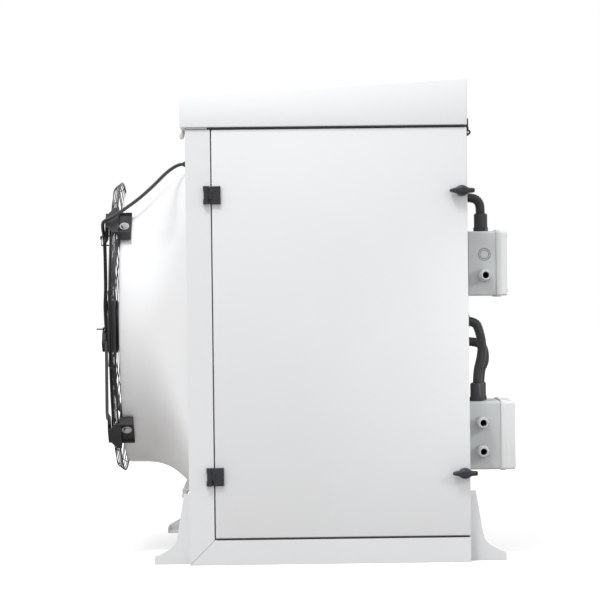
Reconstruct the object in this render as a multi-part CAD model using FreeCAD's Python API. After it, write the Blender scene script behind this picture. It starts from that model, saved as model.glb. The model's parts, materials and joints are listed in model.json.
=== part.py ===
import FreeCAD, Part
import math
import os

V = FreeCAD.Vector

# Chiller unit: sheet-metal cabinet, fan bell on the front (-X), door on the near side (-Y), +Z up.
# The origin is on the floor, in the middle of the four floor bolts. All sizes are millimetres.

# Fan bell, whose square base sets the cabinet's height and depth
BELL_LENGTH = 194.0
BELL_BASE_HALF = 447.0
BELL_FLARE = 46.0
BELL_WALL = 4.0
BELL_LIP = 4.0
BELL_CLEAR_BELOW = 208.0
BELL_CLEAR_ABOVE = 101.0
BELL_CLEAR_BESIDE = 33.0
BELL_RADIUS = BELL_BASE_HALF - BELL_FLARE
FAN_HEIGHT = BELL_CLEAR_BELOW + BELL_BASE_HALF

# Cabinet
CABINET_LENGTH = 780.0
CABINET_DEPTH = 2 * (BELL_BASE_HALF + BELL_CLEAR_BESIDE)
CABINET_HEIGHT = FAN_HEIGHT + BELL_BASE_HALF + BELL_CLEAR_ABOVE
SHEET = 2.0
POST_WIDTH = 69.0
RAIL_HEIGHT = 68.0
MITRE_GAP = 1.0
SEAM = 0.3
RAIL_FLANGE = 45.0
DECK_TOP = 60.0
LIP_WIDTH = 14.0
REAR_LIP = 10.0
TOP_FLANGE = 45.0
TOP_SKIRT = 40.0
SEAL_WIDTH = 22.0

# Door and its latches
DOOR_THICKNESS = 25.0
DOOR_SIDE_GAP = 3.5
DOOR_BOTTOM_GAP = 5.0
DOOR_REAR_INSET = 1.0
DOOR_RETURN = 14.0
GASKET_THICKNESS = 2.7
GASKET_WIDTH = 8.0
KNOB_INSET = 16.0
KNOB_LENGTH = 70.0
KNOB_PROUD = 34.0
KNOB_HUB_RADIUS = 14.0
KNOB_WING_THICKNESS = 15.0
KNOB_FROM_TOP = 176.0
KNOB_FROM_BOTTOM = 173.0
SPINDLE_RADIUS = 5.0
CAM_THICKNESS = 3.0
CAM_REACH = 13.0
CAM_WIDTH = 11.0

# Block hinges, measured from the gap that they cross
HINGE_HEIGHT = 50.0
HINGE_FIXED_SPAN = 22.0
HINGE_MOVING_SPAN = 26.0
HINGE_AXIS_BACK = 13.0
HINGE_AXIS_PROUD = 9.0
HINGE_BARREL_RADIUS = 7.5
HINGE_LEAF_THICKNESS = 9.0
HINGE_PIN_RADIUS = 3.0
HINGE_MIDDLE_KNUCKLE = 22.0
HINGE_PLAY = 0.4
DOOR_HINGE_FROM_TOP = 181.0
DOOR_HINGE_FROM_BOTTOM = 171.0
LID_HINGE_INSET = 100.0

# Lid
LID_GAP = 6.0
LID_OVERHANG = 14.0
LID_SIDE_PROUD = 4.0
LID_FRONT_RISE = 89.0
LID_REAR_RISE = 129.0
LID_FLANGE = 42.0
LID_PULL_WIDTH = 60.0
LID_PULL_DROP = 22.0
LID_PULL_PROUD = 12.0

# Fan, measured along the fan axis and about it
THROAT_RADIUS = BELL_RADIUS - 41.0
THROAT_WALL = 3.0
THROAT_LENGTH = 90.0
PANEL_HOLE_RADIUS = BELL_RADIUS - 15.0
BLADE_COUNT = 7
BLADE_TIP_GAP = 5.0
BLADE_THICKNESS = 5.0
BLADE_DEPTH = 74.0
ROTOR_RADIUS = 82.0
ROTOR_LENGTH = 92.0
STATOR_RADIUS = 78.0
MOTOR_SHAFT_RADIUS = 10.0
RUNNING_GAP = 2.0
PIN_PLAY = 0.05

# Wire guard and its carriers
GUARD_PROUD = 50.0
GUARD_DISH = 17.0
GUARD_RIM_RADIUS = BELL_RADIUS + 27.0
GUARD_RIM_BACK = 14.0
GUARD_WIRE = 4.0
GUARD_FLAT_RADIUS = GUARD_RIM_RADIUS - 21.0
GUARD_INNER_RADIUS = 92.0
GUARD_RING_COUNT = 9
GUARD_SPOKES = 12
ARM_WIDTH = 25.0
ARM_THICKNESS = 8.0
ARM_TAIL_THICKNESS = 6.0
ARM_PLATE_RADIUS = 88.0
ARM_PLATE_THICKNESS = 6.0
BRACKET_WIDTH = 104.0
BRACKET_THICKNESS = 3.0
BRACKET_TAIL = 32.5
BRACKET_SCREW_BACK = 12.0
BRACKET_FLANGE = 28.0
BRACKET_LIP = 6.0
BRACKET_NOSE = 56.0
WASHER_RADIUS = 14.0
WASHER_THICKNESS = 2.0
SCREW_HEAD_RADIUS = 9.0
SCREW_HEAD_HEIGHT = 5.5

# Motor cable
CABLE_RADIUS = 5.0
GROMMET_RADIUS = 12.0
GROMMET_LENGTH = 18.0
CABLE_ENTRY = (-152.0, CABINET_HEIGHT - 77.0)
TIE_BASE = 20.0
TIE_BASE_HEIGHT = 3.2
TERMINAL_HEIGHT = 24.0

# Coil
COIL_DEPTH = 90.0
COIL_NEAR = 290.0 - CABINET_DEPTH / 2
COIL_FAR = CABINET_DEPTH / 2 - 50.0
COIL_BOTTOM = 150.0
COIL_TOP = CABINET_HEIGHT - 93.0
COIL_SETBACK = 3.0
FIN_COUNT = 48
FIN_THICKNESS = 1.2
FIN_WEB = 40.0
COIL_WINDOW_MARGIN = 10.0
BEND_ROWS = 14
BEND_TUBE_RADIUS = 5.0
BEND_RADIUS = 16.0
GAS_HEADER_RADIUS = 11.0
LIQUID_HEADER_RADIUS = 8.0
HEADER_OFFSET = 24.0

# Refrigeration parts on the deck
COMPRESSOR_PLACE = (-140.0, 240.0 - CABINET_DEPTH / 2)
COMPRESSOR_RADIUS = 85.0
COMPRESSOR_HEIGHT = 380.0
COMPRESSOR_FOOT = 230.0
MOUNT_HEIGHT = 25.0
MOUNT_RADIUS = 20.0
RECEIVER_PLACE = (110.0, 190.0 - CABINET_DEPTH / 2)
RECEIVER_RADIUS = 70.0
RECEIVER_HEIGHT = 350.0
EXCHANGER_SIZE = (100.0, 120.0, 420.0)
EXCHANGER_PLACE = (-10.0, CABINET_DEPTH / 2 - 170.0)
EXCHANGER_FOOT = 30.0
EXCHANGER_PLATES = 14
DRIER_RADIUS = 30.0
DRIER_LENGTH = 130.0
GAS_PIPE_RADIUS = 9.0
LIQUID_PIPE_RADIUS = 6.0
WATER_PIPE_RADIUS = 21.0
WATER_PORT_PROUD = 40.0
WATER_SPIGOT_RADIUS = 24.0
WATER_SPIGOT_LENGTH = 34.0
PORT_LENGTH = 12.0

# Junction boxes on the rear face
BOX_WALL = 3.0
BOX_SPACER = 4.0
BOX_CORNER = 7.0
BOX_INSET = 80.0
UPPER_BOX = {"bottom": CABINET_HEIGHT - 468.0, "height": 181.0, "width": 140.0, "body": 80.0, "rim": 13.0, "cover": 18.0}
LOWER_BOX = {"bottom": 248.0, "height": 191.0, "width": 190.0, "body": 88.0, "rim": 13.0, "cover": 28.0}
GLAND_BORE_RADIUS = 9.25
GLAND_BODY_RADIUS = 15.0
GLAND_NUT_RADIUS = 18.5
GLAND_PROUD = 45.0
CONDUIT_RADIUS = 13.5
CONDUIT_GLAND_RADIUS = 19.0
CONDUIT_GLAND_LENGTH = 51.0
BUSH_RADIUS = 22.0
BUSH_LENGTH = 10.0

# Feet and drip lip
FOOT_REACH = 100.0
FOOT_HEIGHT = 195.0
FOOT_TOE = 18.0
FOOT_PLATE = 3.0
FOOT_WIDTH = 70.0
FOOT_INSET = 35.0
FOOT_HOLE_RADIUS = 6.5
FOOT_HOLE_REACH = 60.0
DRIP_WIDTH = 420.0
DRIP_TOP = BELL_CLEAR_BELOW - 4.0

# Derived faces
FRONT = -CABINET_LENGTH / 2
REAR = CABINET_LENGTH / 2
NEAR = -CABINET_DEPTH / 2
FAR = CABINET_DEPTH / 2
POST_EDGE = FRONT + POST_WIDTH
DOOR_LEFT = POST_EDGE + DOOR_SIDE_GAP
DOOR_RIGHT = REAR - DOOR_REAR_INSET
DOOR_BOTTOM = RAIL_HEIGHT + DOOR_BOTTOM_GAP
DOOR_BACK = NEAR + DOOR_THICKNESS
LIP_FACE = DOOR_BACK + GASKET_THICKNESS + SEAM
LID_BOTTOM = CABINET_HEIGHT + LID_GAP
BELL_MOUTH = FRONT - BELL_LENGTH
GUARD_PLANE = BELL_MOUTH - GUARD_PROUD
BRACKET_RADIUS = BELL_RADIUS + BELL_LIP
ARM_END = BRACKET_RADIUS - 6.0
PLATE_FRONT = GUARD_PLANE - ARM_PLATE_THICKNESS
KNOB_X = DOOR_RIGHT - KNOB_INSET
KNOB_HEIGHTS = {"upper": CABINET_HEIGHT - KNOB_FROM_TOP, "lower": DOOR_BOTTOM + KNOB_FROM_BOTTOM}
DOOR_HINGE_HEIGHTS = (CABINET_HEIGHT - DOOR_HINGE_FROM_TOP, DOOR_BOTTOM + DOOR_HINGE_FROM_BOTTOM)
LID_HINGE_SPREAD = CABINET_DEPTH - 2 * LID_HINGE_INSET


def block(x0, x1, y0, y1, z0, z1):
    return Part.makeBox(x1 - x0, y1 - y0, z1 - z0, V(x0, y0, z0))


def rod(start, direction, length, radius):
    return Part.makeCylinder(radius, length, V(*start), V(*direction))


def face_of(points):
    return Part.Face(Part.makePolygon([V(*p) for p in points] + [V(*points[0])]))


def plate_xz(points, y0, y1):
    return face_of([(x, y0, z) for x, z in points]).extrude(V(0, y1 - y0, 0))


def turned(points):
    """A solid turned about the fan axis from (x, radius) points."""
    face = face_of([(x, 0, r) for x, r in points])
    solid = face.revolve(V(0, 0, 0), V(1, 0, 0), 360)
    solid.translate(V(0, 0, FAN_HEIGHT))
    return solid


def strip(points, thickness):
    """The outline of a folded strip: the points are one side, the other lies to their left."""
    other = []
    for i, (x, z) in enumerate(points):
        before = points[max(i - 1, 0)]
        after = points[min(i + 1, len(points) - 1)]
        d_in = V(x - before[0], z - before[1], 0)
        d_out = V(after[0] - x, after[1] - z, 0)
        d_in = d_in.normalize() if d_in.Length else V(d_out).normalize()
        d_out = d_out.normalize() if d_out.Length else V(d_in)
        normal_in = V(-d_in.y, d_in.x, 0)
        normal_out = V(-d_out.y, d_out.x, 0)
        mitre = (normal_in + normal_out).normalize()
        reach = thickness / mitre.dot(normal_in)
        other.append((x + mitre.x * reach, z + mitre.y * reach))
    return list(points) + other[::-1]


def tube(name, points, radius):
    """A round cord or pipe: straight cylinders joined by bends that are parts of a ring."""
    pts = [V(*p) for p in points]
    pieces = []
    radii = []
    length = 0.0
    start = pts[0]
    for i in range(1, len(pts) - 1):
        d_in = (pts[i] - pts[i - 1]).normalize()
        d_out = (pts[i + 1] - pts[i]).normalize()
        turn = d_in.getAngle(d_out)
        run = min((pts[i] - pts[i - 1]).Length, (pts[i + 1] - pts[i]).Length)
        reach = 0.45 * run
        bend = reach / math.tan(turn / 2)
        toward = (d_out - d_in).normalize()
        a = pts[i] - d_in * reach
        centre = pts[i] + toward * (bend / math.cos(turn / 2))
        pieces.append(Part.makeCylinder(radius, (a - start).Length, start, d_in))
        section = Part.Face(Part.Wire(Part.makeCircle(radius, a, d_in)))
        pieces.append(section.revolve(centre, d_in.cross(d_out), math.degrees(turn)))
        length += (a - start).Length + bend * turn
        start = pts[i] + d_out * reach
        radii.append(round(bend, 1))
    last = pts[-1] - start
    length += last.Length
    pieces.append(Part.makeCylinder(radius, last.Length, start, last))
    solid = pieces[0].fuse(pieces[1:])
    ideal = math.pi * radius * radius * length
    print(f"{name}: length {length:.0f}, radii {radii}, volume ratio {solid.Volume / ideal:.4f}")
    return solid


def group(shapes):
    return Part.makeCompound(shapes)


def mirrored(shape):
    """The copy on the far side of the cabinet."""
    return shape.mirror(V(0, 0, 0), V(0, 1, 0))


# Cabinet sheets

def front_panel():
    face = block(FRONT, FRONT + SHEET, NEAR, FAR, SEAM, CABINET_HEIGHT)
    hole = rod((FRONT - SHEET, 0, FAN_HEIGHT), (1, 0, 0), 3 * SHEET, PANEL_HOLE_RADIUS)
    face = face.cut(hole)
    post = [(FRONT, SEAM), (POST_EDGE, RAIL_HEIGHT + SEAM), (POST_EDGE, CABINET_HEIGHT), (FRONT, CABINET_HEIGHT)]
    sides = []
    near_return = plate_xz(post, NEAR, NEAR + SHEET)
    rebate = block(POST_EDGE - SHEET, POST_EDGE, NEAR, LIP_FACE + SHEET, RAIL_HEIGHT + SEAM, CABINET_HEIGHT)
    lip = block(POST_EDGE - SHEET, POST_EDGE + LIP_WIDTH, LIP_FACE, LIP_FACE + SHEET,
                RAIL_HEIGHT + SEAM, CABINET_HEIGHT)
    side = near_return.fuse(rebate).fuse(lip)
    sides.append(side)
    sides.append(mirrored(side))
    panel = face.fuse(sides).removeSplitter()
    entry = rod((FRONT - SHEET, CABLE_ENTRY[0], CABLE_ENTRY[1]), (1, 0, 0), 3 * SHEET, GROMMET_RADIUS / 2)
    return panel.cut(entry)


def bottom_rails():
    end = REAR - SHEET - SEAM
    slope = RAIL_HEIGHT / POST_WIDTH
    face = [(FRONT + MITRE_GAP / slope, 0), (end, 0), (end, RAIL_HEIGHT), (POST_EDGE + MITRE_GAP, RAIL_HEIGHT)]
    side = plate_xz(face, NEAR, NEAR + SHEET)
    top = block(POST_EDGE + MITRE_GAP, end, NEAR, LIP_FACE + SHEET, RAIL_HEIGHT - SHEET, RAIL_HEIGHT)
    lip = block(POST_EDGE + LIP_WIDTH + SEAM, REAR - REAR_LIP - SEAM, LIP_FACE, LIP_FACE + SHEET,
                RAIL_HEIGHT - SHEET, RAIL_HEIGHT + LIP_WIDTH)
    start = FRONT + SHEET + SEAM
    foot = block(start, end, NEAR, NEAR + RAIL_FLANGE, 0, SHEET)
    side = side.cut(block(FRONT, start, NEAR - 1, NEAR + SHEET + 1, -1, RAIL_HEIGHT))
    rail = side.fuse([top, lip, foot]).removeSplitter()
    return group([rail, mirrored(rail)])


def base_pan():
    """A deck with its skirts turned down onto the rails' bottom flanges."""
    x0 = FRONT + SHEET + SEAM
    x1 = REAR - SHEET - SEAM
    y1 = -LIP_FACE - SHEET - SEAM
    outer = block(x0, x1, -y1, y1, SHEET, DECK_TOP)
    inner = block(x0 + SHEET, x1 - SHEET, -y1 + SHEET, y1 - SHEET, 0, DECK_TOP - SHEET)
    return outer.cut(inner)


def coil_window():
    m = COIL_WINDOW_MARGIN
    return block(REAR - 2 * SHEET, REAR + SHEET, COIL_NEAR + m, COIL_FAR - m, COIL_BOTTOM + m, COIL_TOP - m)


def rear_panel():
    y = -LIP_FACE
    face = block(REAR - SHEET, REAR, -y, y, SEAM, CABINET_HEIGHT)
    lip = block(REAR - REAR_LIP, REAR, LIP_FACE, LIP_FACE + SHEET, RAIL_HEIGHT + SEAM, CABINET_HEIGHT)
    panel = face.fuse([lip, mirrored(lip)]).cut(coil_window())
    for y0, z0 in BUSH_PLACES:
        panel = panel.cut(rod((REAR - 2 * SHEET, y0, z0), (1, 0, 0), 3 * SHEET, CONDUIT_RADIUS + SEAM))
    return panel.removeSplitter()


def top_frame():
    x0 = FRONT + SHEET + SEAM
    x1 = REAR - SHEET - SEAM
    y1 = -LIP_FACE
    top = CABINET_HEIGHT
    ring = block(x0, x1, -y1 + SHEET + SEAM, y1 - SHEET - SEAM, top - SHEET, top)
    w = TOP_FLANGE
    hole = block(x0 + w, x1 - w, -y1 + w, y1 - w, top - 2 * SHEET, top + SHEET)
    near = block(POST_EDGE + LIP_WIDTH + SEAM, REAR - REAR_LIP - SEAM, LIP_FACE, LIP_FACE + SHEET,
                 top - TOP_SKIRT, top)
    drop = 15.0
    inner = block(x0 + w - SHEET, x1 - w + SHEET, -y1 + w - SHEET, y1 - w + SHEET, top - drop, top)
    inner = inner.cut(block(x0 + w, x1 - w, -y1 + w, y1 - w, top - 2 * drop, top + SHEET))
    bridge = block(POST_EDGE + LIP_WIDTH + SEAM, REAR - REAR_LIP - SEAM, LIP_FACE, LIP_FACE + 2 * SHEET + SEAM,
                   top - SHEET, top)
    return ring.cut(hole).fuse([near, mirrored(near), inner, bridge, mirrored(bridge)]).removeSplitter()


def door_gasket():
    y0 = DOOR_BACK + SEAM
    y1 = LIP_FACE
    x0 = POST_EDGE + LIP_WIDTH - GASKET_WIDTH
    x1 = REAR - SEAM
    z0 = RAIL_HEIGHT + LIP_WIDTH - GASKET_WIDTH
    z1 = CABINET_HEIGHT - SEAM
    outer = block(x0, x1, y0, y1, z0, z1)
    w = GASKET_WIDTH
    return outer.cut(block(x0 + w, x1 - w, y0 - 1, y1 + 1, z0 + w, z1 - w))


def lid_seal():
    x0 = FRONT + SHEET
    x1 = REAR - SHEET
    y1 = -LIP_FACE - SHEET
    z0 = CABINET_HEIGHT
    outer = block(x0, x1, -y1, y1, z0, LID_BOTTOM - SEAM)
    w = SEAL_WIDTH
    return outer.cut(block(x0 + w, x1 - w, -y1 + w, y1 - w, z0 - 1, LID_BOTTOM))


def tray(x0, x1, z0, z1, lip):
    """A shallow folded tray whose face is on the near side and whose back has a return all round."""
    t = SHEET
    outer = block(x0, x1, NEAR, DOOR_BACK, z0, z1)
    inner = block(x0 + t, x1 - t, NEAR + t, DOOR_BACK - t, z0 + t, z1 - t)
    back = block(x0 + lip, x1 - lip, DOOR_BACK - 2 * t, DOOR_BACK + t, z0 + lip, z1 - lip)
    return outer.cut(inner).cut(back)


def far_side_panel():
    """The same tray as the door, screwed on at the far side."""
    panel = tray(DOOR_LEFT, DOOR_RIGHT, DOOR_BOTTOM, CABINET_HEIGHT, DOOR_RETURN)
    panel = mirrored(panel)
    for x, z in WATER_PORTS:
        panel = panel.cut(rod((x, FAR - DOOR_THICKNESS - 1, z), (0, 1, 0), DOOR_THICKNESS + 2,
                              WATER_PIPE_RADIUS + SEAM))
    return panel


def side_panel_screw_places():
    inset = 20.0
    rows = 3
    places = []
    for x in (DOOR_LEFT + inset, DOOR_RIGHT - inset):
        for i in range(rows):
            z0 = DOOR_BOTTOM + 2 * inset
            places.append((x, z0 + i * (CABINET_HEIGHT - 2 * inset - z0) / (rows - 1)))
    return places


# Fan bell, throat and impeller

def square_section(x, half, corner):
    """A square ring section with rounded corners, at the place x along the fan axis."""
    c = half - corner
    s = corner * math.sqrt(0.5)
    edges = []
    for quarter in range(4):
        turn = FreeCAD.Rotation(V(1, 0, 0), 90 * quarter)
        a = V(x, half, -c)
        b = V(x, half, c)
        m = V(x, c + s, c + s)
        d = V(x, c, half)
        edges.append(Part.LineSegment(turn.multVec(a), turn.multVec(b)).toShape())
        edges.append(Part.Arc(turn.multVec(b), turn.multVec(m), turn.multVec(d)).toShape())
    return Part.Wire(edges)


# Each stage of the bell: share of its length from the cabinet, share of the flare left, squareness
BELL_STAGES = ((0.0, 1.0, 0.62), (0.06, 0.82, 0.57), (0.12, 0.66, 0.5), (0.2, 0.46, 0.4), (0.28, 0.3, 0.3),
               (0.38, 0.16, 0.19), (0.48, 0.07, 0.1), (0.62, 0.0, 0.005))


def bell_core(inset):
    sections = []
    for along, flare, square in BELL_STAGES:
        half = BELL_RADIUS + (BELL_BASE_HALF - BELL_RADIUS) * flare - inset
        sections.append(square_section(FRONT - along * BELL_LENGTH, half, half * (1 - square)))
    core = Part.makeLoft(sections, True, True)
    last = BELL_STAGES[-1][0] * BELL_LENGTH
    tail = rod((FRONT - last, 0, 0), (-1, 0, 0), BELL_LENGTH - last, BELL_RADIUS - inset)
    return core, tail


def fan_bell():
    outer_core, outer_tail = bell_core(0)
    inner_core, inner_tail = bell_core(BELL_WALL)
    shell = outer_core.fuse(outer_tail).cut(inner_core).cut(inner_tail)
    lip_bottom = BELL_RADIUS - BELL_WALL
    lip_top = BELL_RADIUS + BELL_LIP
    mouth = BELL_MOUTH
    lip_depth = 2 * BELL_LIP
    lip = face_of([(mouth, 0, lip_bottom), (mouth + lip_depth, 0, lip_bottom), (mouth + lip_depth, 0, lip_top),
                   (mouth + BELL_LIP / 2, 0, lip_top), (mouth, 0, lip_top - BELL_LIP / 2)])
    lip = lip.revolve(V(0, 0, 0), V(1, 0, 0), 360)
    shell = shell.fuse(lip)
    shell.translate(V(0, 0, FAN_HEIGHT))
    return shell


def fan_throat():
    """Inlet nozzle, straight throat and diffuser cone, turned as one skin inside the bell."""
    t = THROAT_WALL
    inlet = PANEL_HOLE_RADIUS - SEAM - t
    mouth = BELL_RADIUS - BELL_WALL - SEAM
    x_in = FRONT + 8.0
    x_throat = FRONT - 22.0
    x_end = x_throat - THROAT_LENGTH
    r = THROAT_RADIUS
    inside = [(x_in, inlet), (FRONT - 4.0, inlet - 12.0), (x_throat, r), (x_end, r), (BELL_MOUTH, mouth - t)]
    outside = [(BELL_MOUTH, mouth), (x_end, r + t), (x_throat, r + t), (FRONT - 4.0, inlet - 12.0 + t),
               (x_in, inlet + t)]
    return turned(inside + outside)


def blade():
    """One swept fan blade, lofted from the rotor to its tip."""
    root = ROTOR_RADIUS - 1.0
    tip = THROAT_RADIUS - BLADE_TIP_GAP
    mid_x = ROTOR_MID
    sections = []
    for share in (0.0, 0.35, 0.7, 1.0):
        radius = root + (tip - root) * share
        pitch = math.radians(38 - 20 * share)
        chord = 125 + 115 * share
        sweep = 0.42 * share * share
        t = BLADE_THICKNESS * (1.3 - 0.6 * share)
        camber = 0.07 * chord
        centre = V(mid_x, radius * math.sin(sweep), radius * math.cos(sweep))
        along = V(-math.sin(pitch), math.cos(pitch) * math.cos(sweep), -math.cos(pitch) * math.sin(sweep))
        out = V(0, math.sin(sweep), math.cos(sweep))
        up = along.cross(out).normalize()
        a = centre - along * (chord / 2)
        b = centre + along * (chord / 2)
        upper = Part.Arc(a + up * (t / 2), centre + up * (camber + t / 2), b + up * (t / 2))
        lower = Part.Arc(b - up * (t / 2), centre + up * (camber - t / 2), a - up * (t / 2))
        sections.append(Part.Wire([upper.toShape(), Part.LineSegment(b + up * (t / 2), b - up * (t / 2)).toShape(),
                                   lower.toShape(),
                                   Part.LineSegment(a - up * (t / 2), a + up * (t / 2)).toShape()]))
    return Part.makeLoft(sections, True, True)


MOTOR_FACE = GUARD_PLANE
STATOR_END = MOTOR_FACE + 62.0
ROTOR_START = STATOR_END + RUNNING_GAP
ROTOR_MID = ROTOR_START + ROTOR_LENGTH / 2


def fan_blades():
    hub_radius = ROTOR_RADIUS + 4.0
    hub = turned([(ROTOR_START + 6.0, ROTOR_RADIUS), (ROTOR_START + ROTOR_LENGTH - 6.0, ROTOR_RADIUS),
                  (ROTOR_START + ROTOR_LENGTH - 6.0, hub_radius), (ROTOR_START + 6.0, hub_radius)])
    one = blade()
    one = one.cut(rod((ROTOR_START - 100.0, 0, 0), (1, 0, 0), ROTOR_LENGTH + 200.0, ROTOR_RADIUS + 2.0))
    tip = THROAT_RADIUS - BLADE_TIP_GAP
    one = one.common(rod((ROTOR_START - 100.0, 0, 0), (1, 0, 0), ROTOR_LENGTH + 200.0, tip))
    blades = []
    for i in range(BLADE_COUNT):
        copy = one.copy()
        copy.rotate(V(0, 0, 0), V(1, 0, 0), 360.0 * i / BLADE_COUNT)
        copy.translate(V(0, 0, FAN_HEIGHT))
        blades.append(copy)
    return hub.fuse(blades)


def fan_rotor():
    """The outer rotor of the motor: a can with a domed end, turning on the stator's shaft."""
    x0 = ROTOR_START
    x1 = ROTOR_START + ROTOR_LENGTH
    r = ROTOR_RADIUS
    bore = MOTOR_SHAFT_RADIUS + PIN_PLAY
    return turned([(x0, bore), (x0, r - 3), (x0 + 3, r), (x1 - 14, r), (x1 - 4, r - 12), (x1, r - 34), (x1, bore)])


def fan_motor():
    """The motor's fixed half: a flanged and ribbed body on the arms, and the shaft for the rotor."""
    x0 = MOTOR_FACE
    x1 = STATOR_END
    r = STATOR_RADIUS
    s = MOTOR_SHAFT_RADIUS
    points = [(x0, 0), (x0, r), (x0 + 8, r)]
    ribs = 4
    step = (x1 - x0 - 20) / ribs
    for i in range(ribs):
        x = x0 + 8 + i * step
        points += [(x, r - 8), (x + step * 0.55, r - 8), (x + step * 0.55, r), (x + step, r)]
    points += [(x1 - 4, r), (x1, r - 6), (x1, s), (ROTOR_START + ROTOR_LENGTH - 6, s),
               (ROTOR_START + ROTOR_LENGTH - 6, 0)]
    return turned(points)


# Wire guard, arms and brackets

def guard_front(radius):
    """Place along the fan axis of the dished guard's front at a radius."""
    share = max(0.0, radius - ARM_PLATE_RADIUS) / (ARM_END - ARM_PLATE_RADIUS)
    return GUARD_PLANE + GUARD_DISH * share


def wire_ring(x, radius):
    h = GUARD_WIRE / 2
    return turned([(x - h, radius - h), (x + h, radius - h), (x + h, radius + h), (x - h, radius + h)])


def wire_guard():
    """Concentric wire rings behind bent spokes, with a rim round the mouth of the bell."""
    w = GUARD_WIRE
    rim_x = BELL_MOUTH - GUARD_RIM_BACK
    rings = []
    for i in range(GUARD_RING_COUNT):
        share = i / (GUARD_RING_COUNT - 1)
        radius = GUARD_INNER_RADIUS + share * (GUARD_FLAT_RADIUS - GUARD_INNER_RADIUS)
        rings.append(wire_ring(guard_front(radius) + w + w / 2, radius))
    first = GUARD_INNER_RADIUS - w / 2
    shoulder = GUARD_FLAT_RADIUS + 8.0
    rings.append(wire_ring(rim_x, GUARD_RIM_RADIUS - w))
    back = w + 0.02
    path = [(guard_front(first) + back, first), (guard_front(shoulder) + back, shoulder),
            (rim_x + w / 2, GUARD_RIM_RADIUS - w / 2 + 0.5)]
    outline = strip(path, w)
    spokes = []
    for i in range(GUARD_SPOKES):
        spoke = face_of([(x, -w / 2, z) for x, z in outline]).extrude(V(0, w, 0))
        spoke.rotate(V(0, 0, 0), V(1, 0, 0), 360.0 * (i + 0.5) / GUARD_SPOKES)
        spoke.translate(V(0, 0, FAN_HEIGHT))
        spokes.append(spoke)
    return rings[0].fuse(rings[1:] + spokes)


def arm_angles():
    return (45.0, 135.0, 225.0, 315.0)


def at_angle(shape, degrees):
    """Turns a piece that was drawn above the fan axis to its angle about the axis."""
    copy = shape.copy()
    copy.rotate(V(0, 0, 0), V(1, 0, 0), degrees)
    copy.translate(V(0, 0, FAN_HEIGHT))
    return copy


ARM_BEND_RADIUS = ARM_END - 44.0
ARM_BEND_X = GUARD_PLANE - 0.5


def motor_arms():
    x0 = PLATE_FRONT
    t = ARM_THICKNESS
    r = ARM_PLATE_RADIUS
    plate = rod((x0, 0, FAN_HEIGHT), (1, 0, 0), ARM_PLATE_THICKNESS, r)
    end = ARM_END
    bent = ARM_BEND_RADIUS
    tail = bent + 17.0
    front_bent = ARM_BEND_X
    outline = [(x0 - t, r - 14.0), (x0 - t, r), (front_bent, bent),
               (guard_front(tail) - ARM_TAIL_THICKNESS, tail), (guard_front(end) - ARM_TAIL_THICKNESS, end),
               (guard_front(end), end), (guard_front(tail - 3.0), tail - 3.0), (front_bent + t, bent - 3.0),
               (x0, r), (x0, r - 14.0)]
    arm = plate_xz(outline, -ARM_WIDTH / 2, ARM_WIDTH / 2)
    arms = [at_angle(arm, a) for a in arm_angles()]
    base = block(x0 - TIE_BASE_HEIGHT, x0, -TIE_BASE / 2, TIE_BASE / 2, TIE_CENTRE - TIE_BASE / 2,
                 TIE_CENTRE + TIE_BASE / 2)
    slot = block(x0 - 2.0, x0, -TIE_BASE, TIE_BASE, TIE_CENTRE - TIE_WIDTH, TIE_CENTRE + TIE_WIDTH)
    cover = block(x0 - TERMINAL_HEIGHT, x0, -26.0, 26.0, TERMINAL_FACE - 38.0, TERMINAL_FACE)
    cover = cover.makeFillet(3.0, [e for e in cover.Edges if e.BoundBox.XMax < x0 - TERMINAL_HEIGHT + 0.1])
    on_plate = [at_angle(base.cut(slot), CABLE_ARM_ANGLE), at_angle(cover, CABLE_ARM_ANGLE)]
    return plate.fuse(arms + on_plate).removeSplitter()


def guard_brackets():
    """Folded channels that hold the arms and the guard to the outside of the bell."""
    t = BRACKET_THICKNESS
    out = GUARD_RIM_RADIUS + 2.0
    low = out - 55.0
    x_front = guard_front(out) - ARM_TAIL_THICKNESS
    x_low = guard_front(low) - ARM_TAIL_THICKNESS
    path = [(BELL_MOUTH + BRACKET_TAIL, BRACKET_RADIUS), (BELL_MOUTH - 5.5, BRACKET_RADIUS),
            (BELL_MOUTH - 6.5, out), (x_front, out), (x_low, low)]
    outline = strip(path, -t)
    path_face = face_of([(x, -BRACKET_WIDTH / 2, z) for x, z in outline])
    strap = path_face.extrude(V(0, BRACKET_WIDTH, 0))
    half = BRACKET_WIDTH / 2
    nose = BRACKET_NOSE / 2
    taper = BELL_MOUTH - 16.0
    for side in (1, -1):
        corner = face_of([(taper, side * half, low - 5.0), (x_low - 10.0, side * (half + 5.0), low - 5.0),
                          (x_low - 10.0, side * nose, low - 5.0), (x_front + 4.0, side * nose, low - 5.0)])
        strap = strap.cut(corner.extrude(V(0, 0, out - low + 20.0)))
    high = BRACKET_RADIUS + t + BRACKET_FLANGE
    tail = BELL_MOUTH + BRACKET_TAIL
    tall = [(tail, BRACKET_RADIUS), (tail, high), (taper + 4.0, high), (taper, out + t), (taper, out),
            (BELL_MOUTH - 6.5, out), (BELL_MOUTH - 5.5, BRACKET_RADIUS)]
    lip_top = BRACKET_RADIUS + t + BRACKET_LIP
    short = [(tail, BRACKET_RADIUS), (tail, lip_top), (BELL_MOUTH - 4.0, lip_top), (BELL_MOUTH - 5.5, BRACKET_RADIUS)]
    strap = strap.fuse([plate_xz(tall, -half, t - half), plate_xz(short, half - t, half)]).removeSplitter()
    hole = rod((BELL_MOUTH + BRACKET_SCREW_BACK, 0, BRACKET_RADIUS - 5), (0, 0, 1), 20, 4.0)
    strap = strap.cut(hole)
    other = strap.mirror(V(0, 0, 0), V(0, 1, 0))
    return group([at_angle(piece, a) for piece, a in zip((strap, other, strap, other), arm_angles())])


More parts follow.
